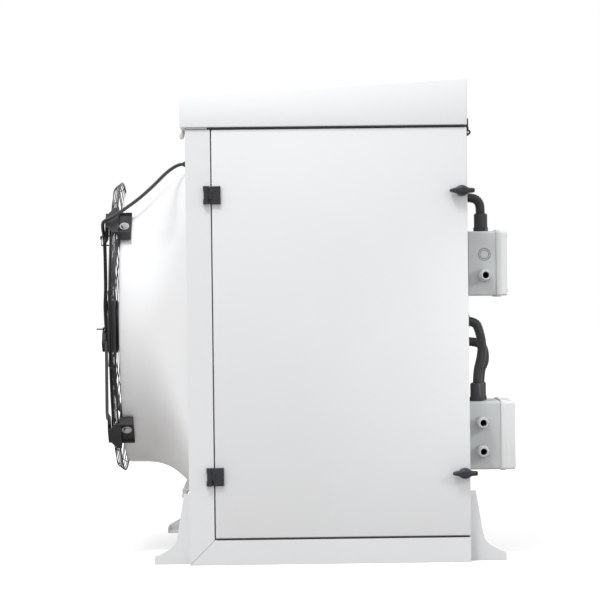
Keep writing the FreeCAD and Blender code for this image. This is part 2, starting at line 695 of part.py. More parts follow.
def bracket_fasteners():
    """A washer and a pan head screw through each strap into the bell."""
    z0 = BRACKET_RADIUS + BRACKET_THICKNESS
    place = (BELL_MOUTH + BRACKET_SCREW_BACK, 0, z0)
    washer = rod(place, (0, 0, 1), WASHER_THICKNESS, WASHER_RADIUS)
    head = rod((place[0], 0, z0 + WASHER_THICKNESS), (0, 0, 1), SCREW_HEAD_HEIGHT, SCREW_HEAD_RADIUS)
    head = head.makeChamfer(1.8, [e for e in head.Edges if e.BoundBox.ZMin > z0 + WASHER_THICKNESS + 1])
    return group([at_angle(washer.fuse(head), a) for a in arm_angles()])


# Motor cable

CABLE_FRONT = PLATE_FRONT - TIE_BASE_HEIGHT - CABLE_RADIUS - 0.3
CABLE_BESIDE = ARM_WIDTH / 2 + CABLE_RADIUS + 1.0


def on_arm(radius, x, aside=0.0):
    """A point over the near upper arm, at a radius from the fan axis and beside the arm's middle."""
    s = math.sqrt(0.5)
    return (x, (aside - radius) * s, FAN_HEIGHT + (radius + aside) * s)


CABLE_ARM_ANGLE = 45.0
TIE_CENTRE = -15.0
TIE_WIDTH = 4.0
TERMINAL_FACE = -44.0
CABLE_ROUTE = [
    (FRONT - GROMMET_LENGTH, CABLE_ENTRY[0], CABLE_ENTRY[1]),
    (FRONT - 44.0, CABLE_ENTRY[0], CABLE_ENTRY[1]),
    (BELL_MOUTH + 69.0, CABLE_ENTRY[0] - 92.0, CABLE_ENTRY[1] - 85.0),
    (BELL_MOUTH - 1.0, CABLE_ENTRY[0] - 151.0, CABLE_ENTRY[1] - 137.0),
    on_arm(BRACKET_RADIUS + 43.0, GUARD_PLANE + 11.0, 5.0),
    on_arm(BRACKET_RADIUS + 25.0, GUARD_PLANE + 1.0, 9.0),
    on_arm(BRACKET_RADIUS - 12.0, GUARD_PLANE + 0.3, 15.0),
    on_arm(BRACKET_RADIUS - 48.0, GUARD_PLANE + 1.0, CABLE_BESIDE),
    on_arm(BRACKET_RADIUS - 105.0, GUARD_PLANE - 0.5, CABLE_BESIDE),
    on_arm(BRACKET_RADIUS - 180.0, GUARD_PLANE - 3.5, CABLE_BESIDE),
    on_arm(150.0, GUARD_PLANE - 7.0, CABLE_BESIDE),
    on_arm(108.0, GUARD_PLANE - 11.0, CABLE_BESIDE),
    on_arm(68.0, CABLE_FRONT, CABLE_BESIDE),
    on_arm(44.0, CABLE_FRONT, 9.0),
    on_arm(22.0, CABLE_FRONT, 0.5),
    on_arm(2.0, CABLE_FRONT - 0.3),
    on_arm(TERMINAL_FACE, CABLE_FRONT),
]


def motor_cable():
    return tube("motor_cable", CABLE_ROUTE, CABLE_RADIUS)


def cable_grommet():
    y, z = CABLE_ENTRY
    r = GROMMET_RADIUS
    profile = [(FRONT, 0), (FRONT, r), (FRONT - 4, r), (FRONT - GROMMET_LENGTH, CABLE_RADIUS + 1.5),
               (FRONT - GROMMET_LENGTH, 0)]
    cone = face_of([(x, 0, h) for x, h in profile]).revolve(V(0, 0, 0), V(1, 0, 0), 360)
    plug = rod((FRONT, 0, 0), (1, 0, 0), SHEET + 3, GROMMET_RADIUS / 2)
    cone = cone.fuse(plug)
    cone.translate(V(0, y, z))
    return cone


TIE_TAIL = 22.0


def tie(radius, low, high, front, back, tail):
    """A flat band round the cable and what carries it, with its lock, in a plane across the arm."""
    w = TIE_WIDTH - 1.5
    band = block(front, back, low, high, radius - w, radius + w)
    band = band.cut(block(front + 1.5, back - 1.2, low + 1.5, high - 1.5, radius - 2 * w, radius + 2 * w))
    lock = block(front - 4.0, front, high - 12.0, high - 4.0, radius - TIE_WIDTH, radius + TIE_WIDTH)
    band = band.fuse(lock)
    if tail:
        band = band.fuse(block(front - tail, front - 3.0, high - 9.0, high - 7.5, radius - w, radius + w))
    return band


def cable_ties():
    """One tie round the near upper arm, and one through the base on the motor plate with its tail left on."""
    on_arm_radius = BRACKET_RADIUS - 57.0
    arm_front = GUARD_PLANE + 1.0 - CABLE_RADIUS - 3.0
    arm_back = guard_front(on_arm_radius) + GUARD_WIRE + 1.6
    beside = CABLE_BESIDE + CABLE_RADIUS + 2.0
    arm_tie = tie(on_arm_radius, -ARM_WIDTH / 2 - 2.0, beside, arm_front, arm_back, 0.0)
    half = TIE_BASE / 2 + 2.0
    base_front = CABLE_FRONT - CABLE_RADIUS - 2.4
    base_tie = tie(TIE_CENTRE, -half, half, base_front, PLATE_FRONT - 0.3, TIE_TAIL)
    return group([at_angle(one, CABLE_ARM_ANGLE) for one in (arm_tie, base_tie)])


# Condenser coil

COIL_REAR = REAR - SHEET - COIL_SETBACK
COIL_FRONT = COIL_REAR - COIL_DEPTH
COIL_PLATE = 2.0


def coil_fins():
    """A row of fins on a core slab that stands for the tube bank between them."""
    pitch = (COIL_FAR - COIL_NEAR) / FIN_COUNT
    middle = (COIL_FRONT + COIL_REAR) / 2
    core = block(middle - FIN_WEB / 2, middle + FIN_WEB / 2, COIL_NEAR, COIL_FAR, COIL_BOTTOM, COIL_TOP)
    outline = block(COIL_FRONT, COIL_REAR, COIL_NEAR, COIL_FAR, COIL_BOTTOM, COIL_TOP)
    gaps = []
    for i in range(FIN_COUNT):
        y0 = COIL_NEAR + i * pitch + FIN_THICKNESS
        y1 = COIL_NEAR + (i + 1) * pitch
        for x0, x1 in ((COIL_FRONT - 1, middle - FIN_WEB / 2), (middle + FIN_WEB / 2, COIL_REAR + 1)):
            gaps.append(block(x0, x1, y0, y1, COIL_BOTTOM - 1, COIL_TOP + 1))
    return outline.cut(group(gaps)).fuse(core).removeSplitter()


def coil_end_plates():
    plates = []
    for y0 in (COIL_NEAR - COIL_PLATE, COIL_FAR):
        plate = block(COIL_FRONT, COIL_REAR, y0, y0 + COIL_PLATE, DECK_TOP, COIL_TOP)
        side = 1 if y0 > 0 else -1
        start = y0 + COIL_PLATE if side > 0 else y0
        tongue = block(COIL_REAR - COIL_PLATE, COIL_REAR, min(start, start + 18 * side),
                       max(start, start + 18 * side), DECK_TOP, COIL_TOP)
        plates.append(plate.fuse(tongue).removeSplitter())
    return group(plates)


def hexagon_bend(z):
    """A return bend between the two tube columns, drawn with a six-sided section."""
    middle = (COIL_FRONT + COIL_REAR) / 2
    y0 = COIL_NEAR - COIL_PLATE
    points = []
    for i in range(6):
        a = math.radians(60 * i)
        points.append((middle + BEND_RADIUS + BEND_TUBE_RADIUS * math.cos(a), y0,
                       z + BEND_TUBE_RADIUS * math.sin(a)))
    return face_of(points).revolve(V(middle, y0, z), V(0, 0, 1), -180)


def coil_bends():
    pitch = (COIL_TOP - COIL_BOTTOM) / BEND_ROWS
    return group([hexagon_bend(COIL_BOTTOM + (i + 0.5) * pitch) for i in range(BEND_ROWS)])


GAS_HEADER = (COIL_FRONT + GAS_HEADER_RADIUS - 1.0, COIL_NEAR - COIL_PLATE - HEADER_OFFSET)
LIQUID_HEADER = (COIL_REAR - COIL_PLATE - LIQUID_HEADER_RADIUS - 2.0, COIL_NEAR - COIL_PLATE - HEADER_OFFSET)
GAS_HEADER_SPAN = (COIL_TOP - 550.0, COIL_TOP - 30.0)
LIQUID_HEADER_SPAN = (COIL_BOTTOM + 30.0, COIL_BOTTOM + 330.0)


def header(place, span, radius):
    x, y = place
    pipe = rod((x, y, span[0]), (0, 0, 1), span[1] - span[0], radius)
    stubs = []
    count = 3
    for i in range(count):
        z = span[0] + (i + 0.5) * (span[1] - span[0]) / count
        stubs.append(rod((x, y, z), (0, 1, 0), HEADER_OFFSET, BEND_TUBE_RADIUS))
    return pipe.fuse(stubs)


def coil_headers():
    return group([header(GAS_HEADER, GAS_HEADER_SPAN, GAS_HEADER_RADIUS),
                  header(LIQUID_HEADER, LIQUID_HEADER_SPAN, LIQUID_HEADER_RADIUS)])


# Refrigeration parts on the deck

def domed(place, z0, height, radius, dome):
    """A vertical shell with domed ends."""
    x, y = place
    points = [(0, z0), (radius * 0.62, z0 + dome * 0.25), (radius, z0 + dome), (radius, z0 + height - dome),
              (radius * 0.62, z0 + height - dome * 0.25), (0, z0 + height)]
    solid = face_of([(r, 0, z) for r, z in points]).revolve(V(0, 0, 0), V(0, 0, 1), 360)
    solid.translate(V(x, y, 0))
    return solid


COMPRESSOR_BASE = DECK_TOP + MOUNT_HEIGHT
COMPRESSOR_PLATE = 5.0
SUCTION_HEIGHT = COMPRESSOR_BASE + COMPRESSOR_HEIGHT - 90.0


def compressor():
    x, y = COMPRESSOR_PLACE
    h = COMPRESSOR_FOOT / 2
    plate = block(x - h, x + h, y - h, y + h, COMPRESSOR_BASE, COMPRESSOR_BASE + COMPRESSOR_PLATE)
    base = COMPRESSOR_BASE + COMPRESSOR_PLATE - 2
    shell = domed(COMPRESSOR_PLACE, base, COMPRESSOR_HEIGHT, COMPRESSOR_RADIUS, 45.0)
    foot = rod((x, y, base), (0, 0, 1), 40.0, COMPRESSOR_RADIUS * 0.8)
    suction = rod((x, y + COMPRESSOR_RADIUS - 10, SUCTION_HEIGHT), (0, 1, 0), 10 + PORT_LENGTH, GAS_PIPE_RADIUS + 4)
    top = base + COMPRESSOR_HEIGHT
    discharge = rod((x - 30, y, top - 30), (0, 0, 1), 30 + PORT_LENGTH, GAS_PIPE_RADIUS + 4)
    terminals = block(x - 35, x + 35, y - COMPRESSOR_RADIUS - 38, y - COMPRESSOR_RADIUS + 15,
                      base + 170, base + 250)
    return plate.fuse([shell, foot, suction, discharge, terminals])


def compressor_mounts():
    x, y = COMPRESSOR_PLACE
    h = COMPRESSOR_FOOT / 2 - MOUNT_RADIUS - 2
    mounts = []
    for sx in (-1, 1):
        for sy in (-1, 1):
            place = (x + sx * h, y + sy * h)
            waist = MOUNT_RADIUS * 0.7
            low = DECK_TOP + MOUNT_HEIGHT * 0.4
            high = DECK_TOP + MOUNT_HEIGHT * 0.6
            outline = [(0, DECK_TOP), (MOUNT_RADIUS, DECK_TOP), (MOUNT_RADIUS, low), (waist, low), (waist, high),
                       (MOUNT_RADIUS, high), (MOUNT_RADIUS, COMPRESSOR_BASE), (0, COMPRESSOR_BASE)]
            one = face_of([(r, 0, z) for r, z in outline]).revolve(V(0, 0, 0), V(0, 0, 1), 360)
            one.translate(V(*place, 0))
            mounts.append(one)
    return group(mounts)


def liquid_receiver():
    x, y = RECEIVER_PLACE
    ring = rod((x, y, DECK_TOP), (0, 0, 1), 25.0, RECEIVER_RADIUS * 0.75)
    shell = domed(RECEIVER_PLACE, DECK_TOP + 8, RECEIVER_HEIGHT, RECEIVER_RADIUS, 35.0)
    inlet = rod((x + RECEIVER_RADIUS - 10, y, LIQUID_INLET), (1, 0, 0), 10 + PORT_LENGTH, LIQUID_PIPE_RADIUS + 3)
    top = DECK_TOP + 8 + RECEIVER_HEIGHT
    outlet = rod((x, y, top - 20), (0, 0, 1), 20 + PORT_LENGTH, LIQUID_PIPE_RADIUS + 3)
    return ring.fuse([shell, inlet, outlet])


LIQUID_INLET = DECK_TOP + 75.0
RECEIVER_TOP = DECK_TOP + 8 + RECEIVER_HEIGHT + PORT_LENGTH
EXCHANGER_BOTTOM = DECK_TOP + EXCHANGER_FOOT


def exchanger_bounds():
    sx, sy, sz = EXCHANGER_SIZE
    x, y = EXCHANGER_PLACE
    return x - sx / 2, x + sx / 2, y - sy / 2, y + sy / 2, EXCHANGER_BOTTOM, EXCHANGER_BOTTOM + sz


def exchanger_port_heights():
    z0, z1 = exchanger_bounds()[4:]
    return z0 + 45.0, z1 - 45.0


def heat_exchanger():
    """A brazed plate pack: thin proud plate edges, thick end plates, four ports and a foot."""
    x0, x1, y0, y1, z0, z1 = exchanger_bounds()
    edge = 3.0
    pack = block(x0, x1, y0 + edge, y1 - edge, z0 + edge, z1 - edge)
    pitch = (x1 - x0) / EXCHANGER_PLATES
    plates = [block(x0 + i * pitch, x0 + (i + 0.55) * pitch, y0, y1, z0, z1) for i in range(EXCHANGER_PLATES)]
    low, high = exchanger_port_heights()
    ports = []
    for z in (low, high):
        ports.append(rod((x0 - PORT_LENGTH, y0 + 30, z), (1, 0, 0), PORT_LENGTH + 5, GAS_PIPE_RADIUS + 4))
        ports.append(rod((x1 - 5 - pitch, y1 - 35, z), (1, 0, 0), PORT_LENGTH + 5 + pitch, WATER_PIPE_RADIUS + 4))
    foot = block(x0 + 5, x1 - 5, y0 + 10, y1 - 10, DECK_TOP, z0 + edge + 1)
    return pack.fuse(plates + ports + [foot])


def water_route(z):
    x1, y1 = exchanger_bounds()[1], exchanger_bounds()[3]
    start = x1 + PORT_LENGTH
    return [(start, y1 - 35, z), (start + 75.0, y1 - 35, z), (start + 75.0, FAR + WATER_PORT_PROUD, z)]


WATER_PORTS = [(exchanger_bounds()[1] + PORT_LENGTH + 75.0, z) for z in exchanger_port_heights()]


def water_pipes():
    low, high = exchanger_port_heights()
    pipes = []
    for name, z in (("water_out", low), ("water_in", high)):
        route = water_route(z)
        x, end, _ = route[-1]
        spigot = rod((x, end - WATER_SPIGOT_LENGTH, z), (0, 1, 0), WATER_SPIGOT_LENGTH, WATER_SPIGOT_RADIUS)
        pipes.append(tube(name, route, WATER_PIPE_RADIUS).fuse(spigot))
    return group(pipes)


DRIER_X = RECEIVER_PLACE[0]
DRIER_Z = RECEIVER_TOP + 60.0
DRIER_START = RECEIVER_PLACE[1] + 110.0


def filter_drier():
    r = DRIER_RADIUS
    p = LIQUID_PIPE_RADIUS + 3
    length = DRIER_LENGTH
    points = [(0, 0), (p, 0), (p, 12), (r, 30), (r, length - 30), (p, length - 12), (p, length), (0, length)]
    solid = face_of([(h, y, 0) for h, y in points]).revolve(V(0, 0, 0), V(0, 1, 0), 360)
    solid.translate(V(DRIER_X, DRIER_START, DRIER_Z))
    return solid


def refrigerant_pipes():
    cx, cy = COMPRESSOR_PLACE
    x0, _, y0, _, _, _ = exchanger_bounds()
    low, high = exchanger_port_heights()
    port_x = x0 - PORT_LENGTH
    port_y = y0 + 30
    top = COMPRESSOR_BASE + COMPRESSOR_PLATE - 2 + COMPRESSOR_HEIGHT + PORT_LENGTH
    gx, gy = GAS_HEADER
    lx, ly = LIQUID_HEADER
    discharge = [(cx - 30, cy, top), (cx - 30, cy, top + 45), (gx, cy, top + 45), (gx, gy, top + 48),
                 (gx, gy, GAS_HEADER_SPAN[0])]
    suction = [(port_x, port_y, high), (cx, port_y, high), (cx, cy + 150, high + 4),
               (cx, cy + 150, SUCTION_HEIGHT), (cx, cy + COMPRESSOR_RADIUS + PORT_LENGTH, SUCTION_HEIGHT)]
    rx, ry = RECEIVER_PLACE
    drain = [(lx, ly, LIQUID_HEADER_SPAN[0]), (lx, ly, LIQUID_INLET), (lx - 60, ry, LIQUID_INLET),
             (rx + RECEIVER_RADIUS + PORT_LENGTH, ry, LIQUID_INLET)]
    rise = [(rx, ry, RECEIVER_TOP), (rx, ry, DRIER_Z), (rx, DRIER_START, DRIER_Z)]
    feed = [(rx, DRIER_START + DRIER_LENGTH, DRIER_Z), (rx, port_y - 60, DRIER_Z),
            (port_x - 50, port_y - 60, DRIER_Z), (port_x - 50, port_y - 60, low + 6), (port_x - 50, port_y, low),
            (port_x, port_y, low)]
    return group([tube("discharge", discharge, GAS_PIPE_RADIUS), tube("suction", suction, GAS_PIPE_RADIUS),
                  tube("drain", drain, LIQUID_PIPE_RADIUS), tube("rise", rise, LIQUID_PIPE_RADIUS),
                  tube("feed", feed, LIQUID_PIPE_RADIUS)])


# Switchgear inside the near rear corner

GEAR_PLATE_X = REAR - 38.0
GEAR_SPAN = (NEAR + 40.0, COIL_NEAR - 52.0)
GEAR_HEIGHTS = (CABINET_HEIGHT - 563.0, CABINET_HEIGHT - 103.0)
GEAR_ROWS = ((90.0, 3, 52.0), (250.0, 4, 44.0), (390.0, 3, 30.0))


def switchgear_plate():
    x = GEAR_PLATE_X
    y0, y1 = GEAR_SPAN
    z0, z1 = GEAR_HEIGHTS
    plate = block(x, x + SHEET, y0, y1, z0, z1)
    inset = 15.0
    spacers = []
    for y in (y0 + inset, y1 - inset):
        for z in (z0 + inset, z1 - inset):
            spacers.append(rod((x, y, z), (1, 0, 0), REAR - SHEET - x, 5.0))
    return plate.fuse(spacers)


def switchgear():
    """Two mounting rails with contactors and terminals clipped on them."""
    x = GEAR_PLATE_X
    y0, y1 = GEAR_SPAN
    pieces = []
    for drop, count, depth in GEAR_ROWS:
        z = GEAR_HEIGHTS[1] - drop
        rail = block(x - 7.5, x, y0 + 10, y1 - 10, z - 17.5, z + 17.5)
        units = []
        width = (y1 - y0 - 40) / count
        for i in range(count):
            a = y0 + 20 + i * width
            low = block(x - depth * 0.7, x - 5, a, a + width - 2, z - 42, z + 42)
            high = block(x - depth, x - 5, a, a + width - 2, z - 24, z + 24)
            units.append(low.fuse(high))
        pieces.append(rail.fuse(units))
    return group(pieces)


# Junction boxes, glands and conduits on the rear face

BOX_NEAR = NEAR + BOX_INSET


def rounded_block(x0, x1, y0, y1, z0, z1, radius):
    solid = block(x0, x1, y0, y1, z0, z1)
    edges = [e for e in solid.Edges if e.BoundBox.XLength > 0.9 * (x1 - x0)]
    return solid.makeFillet(radius, edges)


def gland_places(box):
    """Y face, X and Z of the cable glands in the near side of a box."""
    if box is UPPER_BOX:
        return [(REAR + 51.0, box["bottom"] + 58.0)]
    return [(REAR + 40.0, box["bottom"] + 133.0), (REAR + 40.0, box["bottom"] + 53.0)]


CONDUIT_TOPS = {
    "upper": (REAR + 47.0, BOX_NEAR + 60.0, UPPER_BOX["bottom"] + UPPER_BOX["height"]),
    "front": (REAR + 30.0, BOX_NEAR + 45.0, LOWER_BOX["bottom"] + LOWER_BOX["height"]),
    "back": (REAR + 42.0, BOX_NEAR + 105.0, LOWER_BOX["bottom"] + LOWER_BOX["height"]),
}
UPPER_BOX_TOP = UPPER_BOX["bottom"] + UPPER_BOX["height"]
LOWER_BOX_TOP = LOWER_BOX["bottom"] + LOWER_BOX["height"]
BUSH_PLACES = [(BOX_NEAR + 60.0, UPPER_BOX_TOP + 98.0), (BOX_NEAR + 45.0, LOWER_BOX_TOP + 227.0),
               (BOX_NEAR + 105.0, LOWER_BOX_TOP + 167.0)]


def box_body(box):
    x0 = REAR + BOX_SPACER
    x1 = x0 + box["body"]
    z0 = box["bottom"]
    z1 = z0 + box["height"]
    y0 = BOX_NEAR
    y1 = y0 + box["width"]
    t = BOX_WALL
    body = rounded_block(x0, x1, y0, y1, z0, z1, BOX_CORNER)
    body = body.cut(rounded_block(x0 + t, x1 + t, y0 + t, y1 - t, z0 + t, z1 - t, BOX_CORNER - t + 1))
    pads = []
    inset = 16.0
    for y in (y0 + inset, y1 - inset):
        for z in (z0 + inset, z1 - inset):
            pads.append(rod((REAR, y, z), (1, 0, 0), BOX_SPACER + 1, 7.0))
    body = body.fuse(pads)
    for x, z in gland_places(box):
        body = body.cut(rod((x, y0 - 1, z), (0, 1, 0), t + 2, GLAND_BORE_RADIUS))
    for x, y, top in CONDUIT_TOPS.values():
        if abs(top - z1) < 1:
            body = body.cut(rod((x, y, z1 - t - 1), (0, 0, 1), t + 2, CONDUIT_RADIUS))
    return body


def box_cover(box):
    """A cover with a ribbed rim that overlaps the body all round."""
    x0 = REAR + BOX_SPACER + box["body"]
    x1 = x0 + box["rim"]
    x2 = x1 + box["cover"]
    z0 = box["bottom"]
    z1 = z0 + box["height"]
    y0 = BOX_NEAR
    y1 = y0 + box["width"]
    over = 3.0
    rim = rounded_block(x0, x1, y0 - over, y1 + over, z0 - over, z1 + over, BOX_CORNER + over)
    shell = rounded_block(x1, x2, y0, y1, z0, z1, BOX_CORNER)
    edges = [e for e in shell.Edges if e.BoundBox.XMin > x2 - 0.1]
    shell = shell.makeFillet(5.0, edges)
    return rim.fuse(shell).removeSplitter()


def cover_screw_places(box):
    x = REAR + BOX_SPACER + box["body"] + box["rim"] + box["cover"]
    inset = 14.0
    places = []
    for y in (BOX_NEAR + inset, BOX_NEAR + box["width"] - inset):
        for z in (box["bottom"] + inset, box["bottom"] + box["height"] - inset):
            places.append((x, y, z))
    return places


def cover_screws():
    """The screws of both box covers, and those of the far side panel."""
    screws = []
    for box in (UPPER_BOX, LOWER_BOX):
        for x, y, z in cover_screw_places(box):
            head = hexagon(5.0, 0, 1.5)
            head.rotate(V(0, 0, 0), V(0, 1, 0), 90)
            head.translate(V(x, y, z))
            screws.append(head)
    for x, z in side_panel_screw_places():
        head = hexagon(6.5, 0, 4.0)
        head.rotate(V(0, 0, 0), V(1, 0, 0), -90)
        head.translate(V(x, FAR, z))
        screws.append(head)
    return group(screws)


def hexagon(radius, z0, height):
    points = [(radius * math.cos(math.radians(60 * i)), radius * math.sin(math.radians(60 * i)), z0)
              for i in range(6)]
    return face_of(points).extrude(V(0, 0, height))


def gland():
    """A cable gland on the plane z = 0: hexagon body, thread collar and domed nut with an open bore."""
    r = GLAND_BODY_RADIUS
    base = hexagon(GLAND_NUT_RADIUS, 0, 9)
    neck = rod((0, 0, 9), (0, 0, 1), 4, r)
    nut = hexagon(GLAND_NUT_RADIUS, 13, 18)
    b = GLAND_BORE_RADIUS
    dome = face_of([(b, 0, 31), (r + 1, 0, 31), (r - 1, 0, 39), (b + 3.5, 0, GLAND_PROUD), (b, 0, GLAND_PROUD)])
    dome = dome.revolve(V(0, 0, 0), V(0, 0, 1), 360)
    whole = base.fuse([neck, nut]).cut(rod((0, 0, -1), (0, 0, 1), GLAND_PROUD, b))
    return whole.fuse(dome)


def cable_glands():
    glands = []
    for box in (UPPER_BOX, LOWER_BOX):
        for x, z in gland_places(box):
            one = gland()
            one.rotate(V(0, 0, 0), V(1, 0, 0), 90)
            one.translate(V(x, BOX_NEAR, z))
            glands.append(one)
    return group(glands)


def conduit_glands():
    """A hexagon and a ribbed cap on each box top, round the conduit."""
    glands = []
    for x, y, z in CONDUIT_TOPS.values():
        base = hexagon(CONDUIT_GLAND_RADIUS + 2, z, 12)
        cap = rod((0, 0, z + 12), (0, 0, 1), CONDUIT_GLAND_LENGTH - 12, CONDUIT_GLAND_RADIUS)
        cap = cap.makeChamfer(3.0, [e for e in cap.Edges if e.BoundBox.ZMin > z + 20])
        one = base.fuse(cap)
        one = one.cut(rod((0, 0, z - 1), (0, 0, 1), CONDUIT_GLAND_LENGTH + 2, CONDUIT_RADIUS + SEAM))
        one.translate(V(x, y, 0))
        glands.append(one)
    return group(glands)


def conduit_bushes():
    bushes = []
    for y, z in BUSH_PLACES:
        ring = rod((REAR, y, z), (1, 0, 0), BUSH_LENGTH, BUSH_RADIUS)
        ring = ring.makeChamfer(3.0, [e for e in ring.Edges if e.BoundBox.XMin > REAR + 1])
        bushes.append(ring.cut(rod((REAR - 1, y, z), (1, 0, 0), BUSH_LENGTH + 2, CONDUIT_RADIUS + SEAM)))
    return group(bushes)


def conduit_route(which):
    x, y, top = CONDUIT_TOPS[which]
    inside = REAR - 24.0
    start = (x, y, top - 30.0)
    if which == "upper":
        y1, z1 = BUSH_PLACES[0]
        return [start, (x, y, z1 - 42.0), (x - 3.0, y, z1 - 13.0), (REAR + 22.0, y1, z1), (inside, y1, z1)]
    if which == "front":
        y1, z1 = BUSH_PLACES[1]
        return [start, (x, y, top + 77.0), (REAR + 42.0, y + 1.0, top + 116.0), (REAR + 47.0, y + 2.0, z1 - 72.0),
                (REAR + 39.0, y + 1.0, z1 - 30.0), (REAR + 26.0, y1, z1), (inside, y1, z1)]
    y1, z1 = BUSH_PLACES[2]
    return [start, (x, y, top + 81.0), (REAR + 60.0, y + 2.0, top + 109.0),
            (REAR + 56.0, y + 3.0, z1 - 16.0), (REAR + 34.0, y1, z1), (inside, y1, z1)]


# Feet and drip lip

FOOT_CURVE = [(57.0, 42.0), (45.0, 53.0), (38.5, 63.5), (35.0, 78.0)]


def foot():
    """A folded foot at the front near corner: gusset web, floor flange with its bolt hole, back flange."""
    t = FOOT_PLATE
    y0 = NEAR + FOOT_INSET
    top_reach = 16.0
    web = [(0, 0), (FOOT_REACH, 0), (FOOT_REACH, FOOT_TOE)] + FOOT_CURVE + [(top_reach, FOOT_HEIGHT),
                                                                         (0, FOOT_HEIGHT)]
    plate = plate_xz([(FRONT - x, z) for x, z in web], y0, y0 + t)
    floor = block(FRONT - FOOT_REACH, FRONT, y0, y0 + FOOT_WIDTH, 0, t)
    back = block(FRONT - t, FRONT, y0, y0 + FOOT_WIDTH * 0.6, 0, FOOT_HEIGHT)
    toe = block(FRONT - FOOT_REACH, FRONT - FOOT_REACH + t, y0, y0 + FOOT_WIDTH, 0, FOOT_TOE)
    hole = rod((FRONT - FOOT_HOLE_REACH, y0 + FOOT_WIDTH / 2, -1), (0, 0, 1), t + 2, FOOT_HOLE_RADIUS)
    return plate.fuse([floor, back, toe]).removeSplitter().cut(hole)


def front_feet():
    one = foot()
    return group([one, mirrored(one)])


def rear_feet():
    one = foot().mirror(V(0, 0, 0), V(1, 0, 0))
    return group([one, mirrored(one)])


def drip_lip():
    """A folded lip under the bell that throws water clear of the front face."""
    top = DRIP_TOP
    points = [(FRONT, top), (FRONT - 25.0, top - 11.0), (FRONT - 31.0, top - 21.0), (FRONT - 29.0, top - 27.0),
              (FRONT - 33.0, top - 41.0), (FRONT - 19.0, top - 41.0), (FRONT - 17.0, top - 22.0),
              (FRONT, top - 16.0)]
    return plate_xz(points, -DRIP_WIDTH / 2, DRIP_WIDTH / 2)


# Hinges

def block_hinge():
    """A block hinge across the gap x = 0 on the surface y = 0: fixed knuckles, moving leaf and pin."""
    ax = -HINGE_AXIS_BACK
    ay = -HINGE_AXIS_PROUD
    r = HINGE_BARREL_RADIUS
    half = HINGE_HEIGHT / 2
    mid = HINGE_MIDDLE_KNUCKLE / 2
    bore = rod((ax, ay, -half - 1), (0, 0, 1), HINGE_HEIGHT + 2, HINGE_PIN_RADIUS + PIN_PLAY)
    fixed = []
    for z0, z1 in ((-half, -mid - HINGE_PLAY / 2), (mid + HINGE_PLAY / 2, half)):
        barrel = rod((ax, ay, z0), (0, 0, 1), z1 - z0, r)
        seat = block(-HINGE_FIXED_SPAN, ax + r, ay, 0, z0, z1)
        fixed.append(barrel.fuse(seat).cut(bore))
    middle = rod((ax, ay, -mid), (0, 0, 1), 2 * mid, r)
    t = HINGE_LEAF_THICKNESS
    web = block(ax, 3.0, ay - 3.0, -2.0, -mid, mid)
    leaf = block(ax + r + 1.5, HINGE_MOVING_SPAN, -t - 1.0, -0.0, -half, half)
    over_gap = block(ax + r, DOOR_SIDE_GAP / 2 + 0.5, -1.5, 1.0, -half - 1, half + 1)
    leaf = leaf.makeFillet(2.5, [e for e in leaf.Edges if e.BoundBox.YMax < -t])
    moving = middle.fuse([web, leaf]).cut(over_gap).cut(bore)
    pin = rod((ax, ay, -half), (0, 0, 1), HINGE_HEIGHT, HINGE_PIN_RADIUS)
    return fixed, moving.removeSplitter(), pin


def placed(shape, placement):
    copy = shape.copy()
    copy.Placement = placement.multiply(copy.Placement)
    return copy


def door_hinge_placements():
    x = POST_EDGE + DOOR_SIDE_GAP / 2
    return [FreeCAD.Placement(V(x, NEAR, z), FreeCAD.Rotation()) for z in DOOR_HINGE_HEIGHTS]


def lid_hinge_placements():
    turn = FreeCAD.Rotation(V(0, 0, 1), V(-1, 0, 0), V(0, -1, 0), "XYZ")
    z = CABINET_HEIGHT + LID_GAP / 2
    return [FreeCAD.Placement(V(REAR, y, z), turn) for y in (-LID_HINGE_SPREAD / 2, LID_HINGE_SPREAD / 2)]


def hinge_frames():
    fixed = block_hinge()[0]
    spots = door_hinge_placements() + lid_hinge_placements()
    return group([placed(k, p) for p in spots for k in fixed])


def hinge_pins():
    pin = block_hinge()[2]
    return group([placed(pin, p) for p in door_hinge_placements() + lid_hinge_placements()])


def door_hinge_leaves():
    leaf = block_hinge()[1]
    return group([placed(leaf, p) for p in door_hinge_placements()])


def lid_hinge_leaves():
    leaf = block_hinge()[1]
    return group([placed(leaf, p) for p in lid_hinge_placements()])


# Door and wing knobs

def door_panel():
    door = tray(DOOR_LEFT, DOOR_RIGHT, DOOR_BOTTOM, CABINET_HEIGHT, DOOR_RETURN)
    for z in KNOB_HEIGHTS.values():
        boss = rod((KNOB_X, NEAR + SHEET, z), (0, 1, 0), DOOR_THICKNESS - SHEET, SPINDLE_RADIUS + 4)
        door = door.fuse(boss)
        door = door.cut(rod((KNOB_X, NEAR - 1, z), (0, 1, 0), DOOR_THICKNESS + 2, SPINDLE_RADIUS + PIN_PLAY))
    return door


def door_insulation():
    t = SHEET + SEAM
    slab = block(DOOR_LEFT + t, DOOR_RIGHT - t, NEAR + SHEET, DOOR_BACK - t, DOOR_BOTTOM + t, CABINET_HEIGHT - t)
    for z in KNOB_HEIGHTS.values():
        slab = slab.cut(rod((KNOB_X, NEAR, z), (0, 1, 0), DOOR_THICKNESS, SPINDLE_RADIUS + 4 + SEAM))
    return slab


